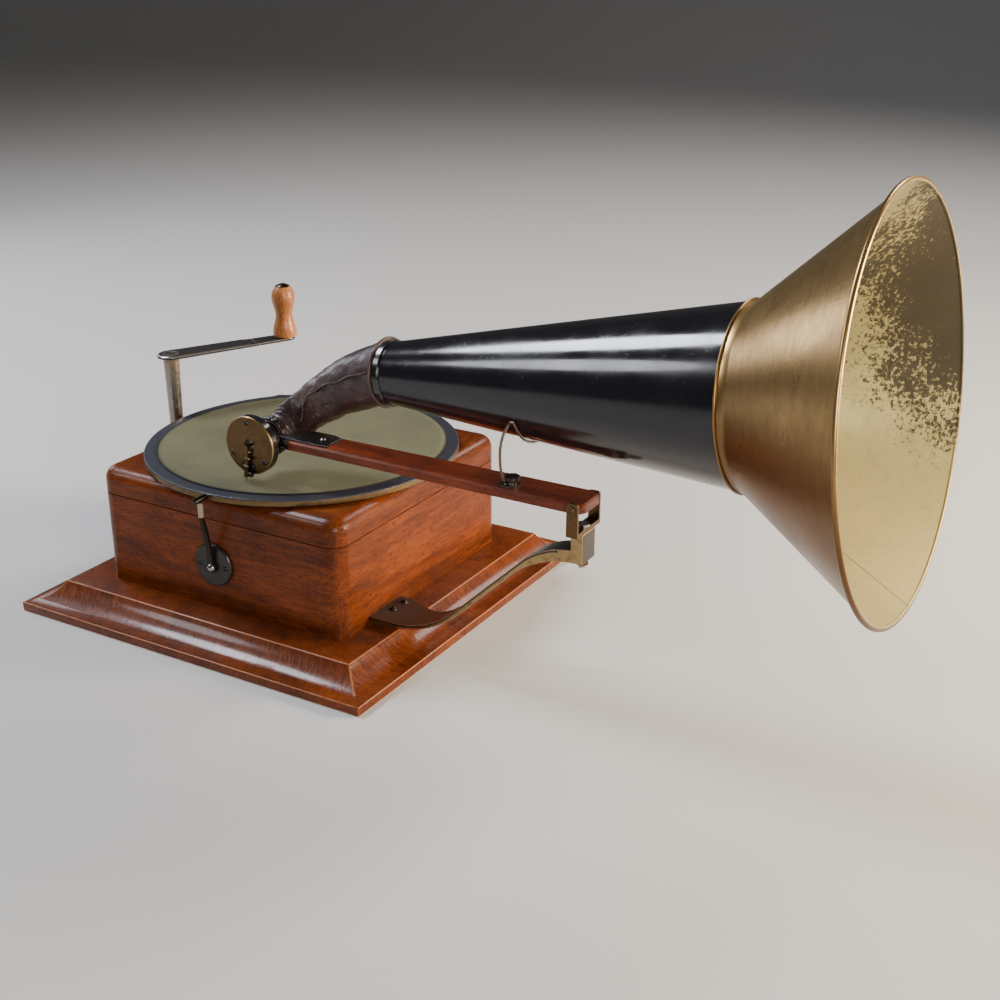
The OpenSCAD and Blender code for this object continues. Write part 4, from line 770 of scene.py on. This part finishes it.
def lathe(name, outline, steps):
    """A turned shell about Z from a closed loop of (radius, height) points."""
    piece = start(name, bpy.ops.mesh.primitive_plane_add, size=MM, location=(0, 0, 0))
    bpy.ops.mesh.merge(type="CENTER")
    bpy.ops.transform.translate(value=(outline[0][0], 0, outline[0][1]))
    for (r0, z0), (r1, z1) in zip(outline, outline[1:]):
        extrude(r1 - r0, 0, z1 - z0)
    ends = [Vector((r, 0, z)) for r, z in (outline[0], outline[-1])]
    pick(piece, lambda co: min((co - end).length for end in ends) < 0.001 * MM)
    bpy.ops.mesh.edge_face_add()
    bpy.ops.mesh.select_all(action="SELECT")
    bpy.ops.mesh.spin(steps=steps, angle=math.tau, center=(0, 0, 0), axis=(0, 0, 1))
    all_round()
    return piece


def sweep(name, places, radii, sides, capped=False):
    """A tube through rings of the given radii, each square to its place."""
    piece = start(name, bpy.ops.mesh.primitive_circle_add, vertices=sides, radius=radii[0])
    object_mode()
    piece.matrix_world = places[0]
    bpy.ops.object.transform_apply(location=True, rotation=True, scale=True)
    bpy.ops.object.mode_set(mode="EDIT")
    for place, radius in zip(places[1:], radii[1:]):
        bpy.ops.mesh.primitive_circle_add(
            vertices=sides, radius=radius, location=place.to_translation(), rotation=place.to_euler()
        )
    bpy.context.tool_settings.mesh_select_mode = (False, True, False)
    last = len(places) - 1
    for k in range(last):
        pick_rings(piece, k * sides, (k + 2) * sides)
        bpy.ops.mesh.bridge_edge_loops()
    if capped:
        for first in (0, last * sides):
            pick_rings(piece, first, first + sides)
            bpy.ops.mesh.edge_face_add()
    all_round()
    return piece


def bead(centre, radius, start_angle, end_angle, count):
    """Points on an arc in the outline's plane."""
    turns = (start_angle + (end_angle - start_angle) * i / count for i in range(count + 1))
    angles = [math.radians(turn) for turn in turns]
    return [(centre[0] + radius * math.cos(a), centre[1] + radius * math.sin(a)) for a in angles]


def between(a, b, count):
    """Points on the straight line from a to b in the outline's plane."""
    step_r, step_z = b[0] - a[0], b[1] - a[1]
    return [(a[0] + step_r * i / count, a[1] + step_z * i / count) for i in range(count + 1)]


def level_at(z):
    """A test for flat faces at that height."""
    return lambda middle, normal: abs(middle.z - z) < 0.01 * MM and abs(normal.z) > 0.9


def soften(name, width, edge):
    """Small bevels on a CAD piece, as modifiers, with a finish of their own if edge is given."""
    node = NODES[name]
    node.modifiers.new("weld", "WELD").merge_threshold = 0.004 * MM
    cut = node.modifiers.new("edges", "BEVEL")
    cut.width = width * MM
    cut.segments = 2
    cut.limit_method = "ANGLE"
    cut.angle_limit = math.radians(38)
    if edge:
        node.data.materials.append(edge)
        cut.material = 1
    node.modifiers.new("normals", "WEIGHTED_NORMAL").weight = 60


# Pieces


class GRAMOPHONE_OT_plinth(Operator):
    """Plinth with a hollow moulding, mitred at the corners"""

    bl_idname = "gramophone.plinth"
    bl_label = "Plinth"

    def execute(self, context):
        width, depth, height = PLINTH_HIGH - PLINTH_LOW
        rise = height - PLINTH_EDGE
        cove = (COVE_WIDTH**2 + rise**2) / (2 * rise)
        plinth = start("plinth_moulded", bpy.ops.mesh.primitive_cube_add, size=1, location=(0, 0, 0))
        bpy.ops.transform.resize(value=(width, depth, PLINTH_EDGE))
        bpy.ops.transform.translate(value=(0, 0, PLINTH_EDGE / 2))
        pick(plinth, lambda middle, normal: normal.z > 0.9, "FACE")
        inset, z = 0.0, PLINTH_EDGE
        for k in range(1, COVE_STEPS + 1):
            next_inset = COVE_WIDTH * k / COVE_STEPS
            next_z = PLINTH_EDGE + cove - math.sqrt(cove**2 - next_inset**2)
            if k == COVE_STEPS:
                next_z = height
            extrude(0, 0, next_z - z)
            resize(*((side - 2 * next_inset) / (side - 2 * inset) for side in (width, depth)))
            inset, z = next_inset, next_z
        self.open_middle(plinth, width, depth, height)

        def sharp(middle, edge):
            """Hard edges of the moulding, but not those round the square way through."""
            if not edge.is_manifold or len(edge.link_faces) != 2:
                return False
            outside = abs(middle.x) > 0.135 or abs(middle.y) > 0.132
            return outside and edge.calc_face_angle(0) > math.radians(28)

        pick(plinth, sharp, "EDGE")
        moulding = case_wood("Plinth mahogany", 3 * MM, slope=12, coat=0.35, relief=0.4 * MM)
        for wood in (moulding, edge_wood("Plinth edge")):
            plinth.data.materials.append(wood)
        round_off = context.scene.gramophone_wood.edge_round
        bpy.ops.mesh.bevel(offset=round_off, segments=3, affect="EDGES", clamp_overlap=True, material=1)
        all_round()
        settle(plinth, smooth=30)
        give(plinth, "mahogany", "base", stands_for=("plinth",))
        return {"FINISHED"}

    def open_middle(self, plinth, width, depth, height):
        """A square way through, as in the CAD, with the bottom board's rebate left plain."""
        open_w, open_d = PLINTH_OPENING
        top = height, width - 2 * COVE_WIDTH, depth - 2 * COVE_WIDTH
        for z, w, d in (top, (0, width, depth)):
            pick(plinth, level_at(z), "FACE")
            extrude(0, 0, 0)
            resize(open_w / w, open_d / d)

        def inner(middle, normal):
            return abs(middle.x) < MM and abs(middle.y) < MM and abs(normal.z) > 0.9

        pick(plinth, inner, "FACE")
        bpy.ops.mesh.bridge_edge_loops()


class GRAMOPHONE_OT_mat(Operator):
    """Felt mat that lies on the turntable"""

    bl_idname = "gramophone.mat"
    bl_label = "Felt mat"

    def execute(self, context):
        low, high = MAT_LOW.z, MAT_HIGH.z
        outer = (MAT_HIGH.x - MAT_LOW.x) / 2
        step = 0.25 * MM
        outline = between((MAT_HOLE, low), (outer - step, low), MAT_STEPS)
        outline += [(outer, low + step), (outer, high - step)]
        outline += between((outer - step, high), (MAT_HOLE + step, high), MAT_STEPS)
        outline += [(MAT_HOLE, high - step)]
        mat = lathe("felt_mat", outline, MAT_SIDES)
        settle(mat, smooth=50)
        felt = mat_felt(context.scene.gramophone_leather)
        give(mat, "felt", "turntable", felt, stands_for=("turntable_mat",))
        return {"FINISHED"}


class GRAMOPHONE_OT_horn(Operator):
    """Black cone and brass bell, spun from sheet metal, with a folded seam and a rolled mouth"""

    bl_idname = "gramophone.horn"
    bl_label = "Horn"

    def execute(self, context):
        sizes = context.scene.gramophone_horn
        wall = sizes.wall
        turned = Euler((0, math.pi / 2 - sizes.rise, 0)).to_matrix().to_4x4()
        place = Matrix.Translation(HORN_AT) @ turned
        outer = between((CONE_SMALL, 0), (CONE_LARGE, CONE_LENGTH), CONE_STEPS)
        inner = between((CONE_LARGE - wall, CONE_LENGTH), (CONE_SMALL - wall, 0), CONE_STEPS)
        cone = lathe("horn_cone_skin", outer + inner, sizes.sides)
        settle(cone, place)
        give(cone, "black_lacquer", "arm", cone_lacquer(sizes), stands_for=("horn_cone",))

        ring, roll = 0.9 * MM, 1.8 * MM
        lip = CONE_SMALL + (CONE_LARGE - CONE_SMALL) * LIP_AT / CONE_LENGTH
        outline = [(lip + 0.03 * MM, LIP_AT)] + bead((lip + ring, LIP_AT + ring), ring, -110, 112, 14)
        joint = (CONE_LARGE + wall + 0.1 * MM, CONE_LENGTH)
        outline += between(joint, (MOUTH_RADIUS - 0.343 * MM, MOUTH_AT - 0.45 * MM), BELL_STEPS)
        outline += bead((MOUTH_RADIUS + roll - wall, MOUTH_AT), roll, -160, 180, 34)
        throat = (CONE_LARGE + 0.02 * MM, CONE_LENGTH)
        outline += between((MOUTH_RADIUS - wall, MOUTH_AT), throat, BELL_STEPS)[1:]
        bell = lathe("horn_bell_skin", outline, sizes.sides)
        self.mark_inside(bell)
        settle(bell, place)
        brass = bell_brass(sizes, False), bell_brass(sizes, True)
        give(bell, "horn_brass", "arm", *brass, stands_for=("horn_bell",))
        return {"FINISHED"}

    def mark_inside(self, bell):
        """The second material slot takes the inner wall."""
        for name in ("slot_a", "slot_b"):
            bell.data.materials.append(bpy.data.materials.new(name))

        def inward(middle, normal):
            radial = math.hypot(middle.x, middle.y)
            flat = (middle.x * normal.x + middle.y * normal.y) / max(radial, MM)
            return flat < 0 and middle.z > CONE_LENGTH - 1 * MM and radial < MOUTH_RADIUS + 0.6 * MM

        pick(bell, inward, "FACE")
        bell.active_material_index = 1
        bpy.ops.object.material_slot_assign()


def ease(share):
    """A share from 0 to 1, eased at both ends."""
    share = min(1, max(0, share))
    return share * share * (3 - 2 * share)


def elbow_radius(t):
    """The leather's radius: 13.8 mm at the neck, 25.5 mm at the horn and drawn in between."""
    return (13.8 + 11.7 * t - 7.8 * t * (1 - t)) * MM


def elbow_place(t, rise):
    """Frame of the elbow's ring at t, from 0 at the neck to 1 at the horn, with Z along the tube."""
    a, b, c, d = ELBOW_LINE
    u = 1 - t
    centre = u**3 * a + 3 * u * u * t * b + 3 * u * t * t * c + t**3 * d
    line = (u * u * (b - a) + 2 * u * t * (c - b) + t * t * (d - c)).normalized()
    from_neck = ease(t / NECK_LEFT)
    to_horn = ease((t - HORN_TAKEN) / (1 - HORN_TAKEN))
    horn = Vector((math.cos(rise), 0, math.sin(rise)))
    way = (1 - from_neck) * Vector((0, 1, 0)) + from_neck * ((1 - to_horn) * line + to_horn * horn)
    way.normalize()
    side = way.cross(Vector((0, 0, 1))).normalized()
    return Matrix.Translation(centre) @ Matrix((side, way.cross(side), way)).transposed().to_4x4()


def crumple(piece, name, size, strength, depth):
    """A displacement by clouds, applied."""
    only(piece)
    clouds = bpy.data.textures.new(name, "CLOUDS")
    clouds.noise_scale = size
    clouds.noise_depth = depth
    push = piece.modifiers.new(name, "DISPLACE")
    push.texture = clouds
    push.texture_coords = "LOCAL"
    push.strength = strength
    push.mid_level = 0.62
    bpy.ops.object.modifier_apply(modifier=name)


class GRAMOPHONE_OT_elbow(Operator):
    """Leather elbow with folds, a gathered cuff and a stitched seam"""

    bl_idname = "gramophone.elbow"
    bl_label = "Elbow"

    def execute(self, context):
        sizes = context.scene.gramophone_leather
        rise = context.scene.gramophone_horn.rise
        places, radii = [], []

        # Folds crowd at the neck and die out past the middle, with one slack swelling at 0.30

        for k in range(ELBOW_RINGS + 1):
            t = k / ELBOW_RINGS
            fold = math.sin(t * 95 + 1.7 * math.sin(t * 31)) * max(0, 1 - t / 0.55)
            slack = math.exp(-(((t - 0.30) / 0.10) ** 2))
            places.append(elbow_place(t, rise))
            radii.append(elbow_radius(t) - 0.5 * MM + sizes.crease * (0.6 * fold - 0.25 + 0.9 * slack))
        tube = sweep("elbow_leather", places, radii, ELBOW_SIDES)
        crumple(tube, "folds", 13 * MM, 2.6 * MM, 2)
        crumple(tube, "wrinkles", 4.2 * MM, 0.7 * MM, 3)
        shell = tube.modifiers.new("leather", "SOLIDIFY")
        shell.thickness = sizes.wall
        shell.offset = -1
        bpy.ops.object.modifier_apply(modifier="leather")
        settle(tube, smooth=70)
        give(tube, "leather", "arm", leather(sizes, "Elbow leather"), stands_for=("elbow",))
        self.cuff(sizes, rise)
        self.hem(sizes, rise)
        self.seam(sizes, rise)
        self.stitches(rise)
        return {"FINISHED"}

    def cuff(self, sizes, rise):
        """A band gathered round the neck end of the leather."""
        r = elbow_radius(0)
        outline = bead((r + 0.3 * MM, 2.0 * MM), 1.5 * MM, -130, 40, 8)
        outline += bead((r + 0.1 * MM, 5.4 * MM), 1.4 * MM, -50, 60, 8)
        outline += bead((r - 0.3 * MM, 8.2 * MM), 1.2 * MM, -40, 130, 6)
        outline += [(r - 1.9 * MM, 8.6 * MM), (r - 1.9 * MM, 1.2 * MM)]
        cuff = lathe("elbow_cuff", outline, ELBOW_SIDES)

        def pleat(co):
            step = round(math.atan2(co.y, co.x) / math.tau * ELBOW_SIDES) % ELBOW_SIDES
            return step % 5 < 2 and math.hypot(co.x, co.y) > r - 0.9 * MM

        pick(cuff, pleat)
        resize(0.965, 0.965)
        settle(cuff, elbow_place(0, rise), smooth=60)
        give(cuff, "leather", "arm", leather(sizes, "Cuff leather", 0.6))

    def hem(self, sizes, rise):
        """The leather's turned end over the horn's collar."""
        r = elbow_radius(1) - 0.6 * MM
        hem = lathe("elbow_hem", bead((r, -1.3 * MM), 1.15 * MM, 0, 360, 14)[:-1], ELBOW_SIDES)
        settle(hem, elbow_place(1, rise), smooth=60)
        crumple(hem, "hem folds", 5 * MM, 0.5 * MM, 2)
        give(hem, "leather", "arm", leather(sizes, "Hem leather", 1.5))

    def seam(self, sizes, rise):
        """The raised edge where the leather laps over itself."""
        places, radii = [], []
        for k in range(SEAM_RINGS + 1):
            t = 0.20 + 0.78 * k / SEAM_RINGS
            lean = math.radians(SEAM_ANGLE + 5 * math.sin(9 * t) + 1.6 * math.sin(41 * t))
            out = Vector((math.cos(lean), math.sin(lean), 0)) * (elbow_radius(t) - 0.1 * MM)
            places.append(elbow_place(t, rise) @ Matrix.Translation(out))
            radii.append((0.85 + 0.3 * math.sin(53 * t) * math.sin(17 * t)) * MM)
        ridge = sweep("elbow_seam", places, radii, SEAM_SIDES, capped=True)
        settle(ridge, smooth=60)
        give(ridge, "leather", "arm", leather(sizes, "Seam leather", 0.4))

    def stitches(self, rise):
        """Thread stitches along the seam on the elbow's near side."""
        thread = worn_plain("Seam thread", (0.16, 0.11, 0.08), (0.08, 0.05, 0.035), gloss=(0.75, 0.85))
        first = start(
            "elbow_stitch_1", bpy.ops.mesh.primitive_cylinder_add, vertices=12, radius=0.42 * MM,
            depth=3.0 * MM,
        )
        pick(first, lambda middle, normal: abs(normal.z) > 0.9, "FACE")
        bpy.ops.mesh.bevel(offset=0.3 * MM, segments=2, affect="EDGES")
        all_round()
        placed = []
        for k in range(STITCH_COUNT):
            t = 0.30 + 0.62 * k / (STITCH_COUNT - 1)
            stitch = first
            if k:
                only(first)
                bpy.ops.object.duplicate()
                stitch = bpy.context.object
                stitch.name = f"elbow_stitch_{k + 1}"
            lean = math.radians(SEAM_ANGLE + 4 * math.sin(9 * t))
            out = Vector((math.cos(lean), math.sin(lean), 0))
            slant = Matrix.Rotation(math.radians(24 if k % 2 else 34), 4, out)
            shift = Matrix.Translation(out * (elbow_radius(t) - 0.75 * MM))
            placed.append((stitch, elbow_place(t, rise) @ shift @ slant))
        for stitch, place in placed:
            settle(stitch, place, smooth=60)
            give(stitch, "leather", "arm", thread)


class GRAMOPHONE_OT_finishes(Operator):
    """Finishes of the CAD pieces that keep their shape"""

    bl_idname = "gramophone.finishes"
    bl_label = "Finishes"

    def execute(self, context):
        by_slot, by_node = self.by_slot(context.scene), self.by_node()
        for part in frame["record"]["subparts"]:
            node = NODES[part["node"]]
            if node.hide_render:
                continue
            node.data.materials.clear()
            node.data.materials.append(by_node.get(part["node"]) or by_slot[part["material_slot"]])
        self.edges(context.scene.gramophone_metal)
        return {"FINISHED"}

    def by_slot(self, scene):
        """One finish for each material slot of the record."""
        wood, metal = scene.gramophone_wood, scene.gramophone_metal
        return {
            "mahogany": case_wood("Cabinet mahogany"),
            "plain_wood": timber(
                "Plain wood", (0.20, 0.11, 0.05), (0.40, 0.25, 0.13), gloss=0.6, coat=0.0
            ),
            "red_mahogany": timber(
                "Arm mahogany", wood.arm_dark, wood.arm_light, gloss=0.34, coat=0.10, bands=50.0,
                fibres=380.0,
            ),
            "turned_wood": timber(
                "Turned wood", wood.grip_dark, wood.grip_light, lambda made: made.turned((0, 90, 0)),
                gloss=0.34, coat=0.25, bands=70.0, fibres=500.0, figure=0.3,
            ),
            "black_iron": worn_metal(
                "Black enamel", metal.japan, (0.10, 0.07, 0.05), cover=0.14, scale=70,
                metallic=(0.0, 0.7), gloss=(0.20, 0.5), coat=0.45, grit=0.5,
            ),
            "dark_steel": worn_metal("Dark steel", (0.060, 0.052, 0.047), (0.14, 0.09, 0.055), scale=90),
            "nickel": worn_metal(
                "Nickel", shade(metal.steel, 0.8), (0.20, 0.13, 0.07), cover=0.34, scale=110,
                gloss=(0.22, 0.42),
            ),
            "bright_steel": worn_metal(
                "Bright steel", shade(metal.steel, 0.9), (0.22, 0.15, 0.09), cover=0.22, scale=110,
                gloss=(0.22, 0.5),
            ),
            "spring_steel": worn_metal(
                "Spring steel", (0.09, 0.11, 0.16), (0.18, 0.13, 0.09), cover=0.2
            ),
            "needle_steel": worn_metal(
                "Needle steel", (0.56, 0.55, 0.53), (0.4, 0.36, 0.3), cover=0.1, gloss=(0.15, 0.5)
            ),
            "worn_steel": worn_metal(
                "Worn steel", (0.33, 0.31, 0.285), (0.34, 0.21, 0.09), cover=0.40, scale=45,
                gloss=(0.26, 0.36), edge=0.12,
            ),
            "brown_iron": worn_metal(
                "Brown iron", (0.040, 0.028, 0.022), (0.16, 0.10, 0.055), cover=0.30,
                metallic=(0.7, 0.9), gloss=(0.36, 0.5),
            ),
            "motor_brass": worn_metal("Motor brass", (0.55, 0.35, 0.13), (0.25, 0.14, 0.05), cover=0.3),
            "aged_brass": worn_metal(
                "Aged brass", metal.old_brass, (0.10, 0.058, 0.030), cover=0.34, scale=70,
                gloss=(0.34, 0.48), edge=0.12,
            ),
            "horn_brass": bell_brass(scene.gramophone_horn, False),
            "turntable_paint": worn_metal(
                "Turntable paint", metal.table_paint, (0.085, 0.082, 0.080), cover=0.18, scale=50,
                metallic=(0.1, 0.5), gloss=(0.46, 0.55), grit=0.5,
                bare=((0.19, 0.125, 0.06), table_edge),
            ),
            "black_lacquer": worn_metal(
                "Black lacquer", (0.008, 0.007, 0.008), (0.07, 0.05, 0.04), cover=0.14, scale=80,
                metallic=(0.0, 0.4), gloss=(0.16, 0.45), coat=0.5,
            ),
            "felt": leather(scene.gramophone_leather, "Brake felt"),
            "leather": leather(scene.gramophone_leather, "Plain leather"),
            "rubber": worn_plain(
                "Old rubber", (0.07, 0.028, 0.020), (0.10, 0.05, 0.04), gloss=(0.7, 0.8)
            ),
            "mica": worn_plain(
                "Mica", (0.10, 0.085, 0.06), (0.06, 0.05, 0.035), gloss=(0.14, 0.2), coat=0.5
            ),
            "ivory": worn_plain(
                "Ivory", (0.36, 0.28, 0.18), (0.17, 0.11, 0.06), scale=140, gloss=(0.32, 0.45)
            ),
        }

    def by_node(self):
        """Pieces that look unlike the rest of their slot."""
        return {
            "horn_bracket": worn_metal(
                "Bracket enamel", (0.030, 0.017, 0.014), (0.10, 0.065, 0.045), cover=0.30, scale=40,
                metallic=(0.1, 0.6), gloss=(0.36, 0.48), coat=0.1, grit=0.5, edge=0.12,
                bare=((0.44, 0.30, 0.135), bracket_side),
            ),
            "crank_arm": worn_metal(
                "Crank enamel", (0.016, 0.011, 0.011), (0.09, 0.07, 0.06), cover=0.20,
                metallic=(0.0, 0.6), gloss=(0.42, 0.45), grit=0.5,
                bare=((0.42, 0.40, 0.38), crank_lines),
            ),
            "wire_cradle": worn_metal(
                "Cradle wire", (0.22, 0.165, 0.11), (0.10, 0.065, 0.04), scale=200
            ),
            "cradle_base": worn_metal(
                "Cradle foot", (0.10, 0.08, 0.065), (0.26, 0.20, 0.13), cover=0.3, scale=160
            ),
            "stylus_bar": worn_metal(
                "Stylus bronze", (0.15, 0.095, 0.052), (0.05, 0.035, 0.028), cover=0.4, scale=200
            ),
            "brake_plate": worn_metal(
                "Brake plate enamel", (0.022, 0.016, 0.014), (0.09, 0.06, 0.045), cover=0.25, scale=90,
                metallic=(0.3, 0.8), gloss=(0.34, 0.45), coat=0.2,
            ),
        }

    def edges(self, metal):
        """Worn edges in pale steel, brass or rubbed wood, with their widths in millimetres."""
        steel = worn_metal(
            "Worn steel edge", shade(metal.steel, 0.75), (0.16, 0.11, 0.07), cover=0.3, scale=120
        )
        brass = worn_metal("Worn brass edge", (0.46, 0.31, 0.14), (0.18, 0.11, 0.05), scale=120)
        for name, width, edge in (
            ("horn_bracket", 0.45, brass),
            ("crank_arm", 0.45, steel),
            ("yoke", 0.25, brass),
            ("brake_plate", 0.25, steel),
            ("arm_saddle", 0.20, None),
            ("soundbox_face", 0.30, brass),
            ("turntable", 0.25, steel),
            ("cradle_base", 0.15, None),
            ("case_body", 0.35, edge_wood("Cabinet edge")),
            ("crank_housing", 0.4, None),
        ):
            soften(name, width, edge)


class GRAMOPHONE_OT_stage(Operator):
    """Pale studio floor, soft lights and the camera"""

    bl_idname = "gramophone.stage"
    bl_label = "Stage"

    def execute(self, context):
        sizes = context.scene.gramophone_stage
        floor = self.paper(sizes.floor)
        lights = [
            self.light(name, place, size, sizes.key_power * share, hue)
            for name, place, size, share, hue in (
                ("key_light", (-1.25, -1.0, 1.35), 0.55, 0.22, (0.92, 0.95, 1.0)),
                ("side_light", (1.55, 0.72, 0.50), 0.7, 1.55, (1.0, 0.82, 0.60)),
                ("top_light", (-1.15, 0.0, 1.75), 0.65, 0.85, (0.87, 0.91, 1.0)),
                ("bell_light", (1.7, -1.2, 0.75), 0.8, 0.60, (1.0, 0.95, 0.86)),
                ("rim_light", (0.7, 2.0, 1.6), 0.8, 0.45, (1.0, 0.97, 0.93)),
                ("sheen_light", (-1.5, 0.45, 0.62), 0.5, 0.08, (0.88, 0.90, 1.0)),
            )
        ]
        world = bpy.data.worlds.new("Studio")
        world.use_nodes = True
        plug(world.node_tree.nodes["Background"], {"Color": (0.86, 0.88, 0.92), "Strength": 0.08})
        context.scene.world = world
        rotation = [math.radians(angle) for angle in CAMERA_TURN]
        bpy.ops.object.camera_add(location=CAMERA_AT, rotation=rotation)
        camera = bpy.context.object
        camera.name = "photo_camera"
        camera.data.lens = sizes.lens
        camera.data.sensor_width = 36
        context.scene.camera = camera
        return {"FINISHED"}

    def paper(self, pale):
        """A paper sweep: the floor, rounded up behind the object."""
        back = PAPER_SIZE / 2 - 0.1
        floor = start("studio_floor", bpy.ops.mesh.primitive_plane_add, size=PAPER_SIZE)
        pick(floor, lambda middle, edge: middle.y > back, "EDGE")
        extrude(0, 0, PAPER_RISE)
        pick(floor, lambda middle, edge: middle.y > back and middle.z < 0.1, "EDGE")
        bpy.ops.mesh.bevel(offset=PAPER_BEND, segments=16, affect="EDGES")
        object_mode()
        bpy.ops.object.shade_smooth()
        made = Finish("Studio paper", Roughness=0.85)
        cloud = spread(noise(made.place, 1.1, 3, 0.5), 0.3, 0.7)
        made.feed(Base_Color=mix(cloud, pale, shade(pale, 0.97)))
        floor.data.materials.append(made.material)
        return floor

    def light(self, name, place, size, power, hue):
        """A soft round light that looks at the object."""
        rotation = (LIGHTS_AIM - Vector(place)).to_track_quat("-Z", "Y").to_euler()
        bpy.ops.object.light_add(type="AREA", location=place, rotation=rotation)
        made = bpy.context.object
        made.name = name
        made.data.shape = "DISK"
        made.data.size = size
        made.data.energy = power
        made.data.color = hue
        return made


class GRAMOPHONE_PT_panel(Panel):
    """Sizes, colours and the steps that build the pieces"""

    bl_label = "Gramophone"
    bl_idname = "GRAMOPHONE_PT_panel"
    bl_space_type = "VIEW_3D"
    bl_region_type = "UI"
    bl_category = "Gramophone"

    def draw(self, context):
        layout = self.layout
        for title, key, _ in SETTINGS:
            box = layout.box()
            box.label(text=title)
            group = getattr(context.scene, key)
            for name in group.__annotations__:
                box.prop(group, name)
        column = layout.column(align=True)
        for step in STEPS:
            column.operator(step.bl_idname)


SETTINGS = (
    ("Horn", "gramophone_horn", HornSettings),
    ("Wood", "gramophone_wood", WoodSettings),
    ("Leather and felt", "gramophone_leather", LeatherSettings),
    ("Metal", "gramophone_metal", MetalSettings),
    ("Stage", "gramophone_stage", StageSettings),
)
STEPS = (
    GRAMOPHONE_OT_plinth,
    GRAMOPHONE_OT_mat,
    GRAMOPHONE_OT_horn,
    GRAMOPHONE_OT_elbow,
    GRAMOPHONE_OT_finishes,
    GRAMOPHONE_OT_stage,
)


def register():
    for _, key, group in SETTINGS:
        bpy.utils.register_class(group)
        setattr(bpy.types.Scene, key, PointerProperty(type=group))
    for step in STEPS:
        bpy.utils.register_class(step)
    bpy.utils.register_class(GRAMOPHONE_PT_panel)


def unregister():
    bpy.utils.unregister_class(GRAMOPHONE_PT_panel)
    for step in reversed(STEPS):
        bpy.utils.unregister_class(step)
    for _, key, group in SETTINGS:
        delattr(bpy.types.Scene, key)
        bpy.utils.unregister_class(group)


def main():
    """Registers the add-on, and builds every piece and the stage."""
    register()
    for step in STEPS:
        module, name = step.bl_idname.split(".")
        getattr(getattr(bpy.ops, module), name)()
    object_mode()


if __name__ == "__main__":
    main()
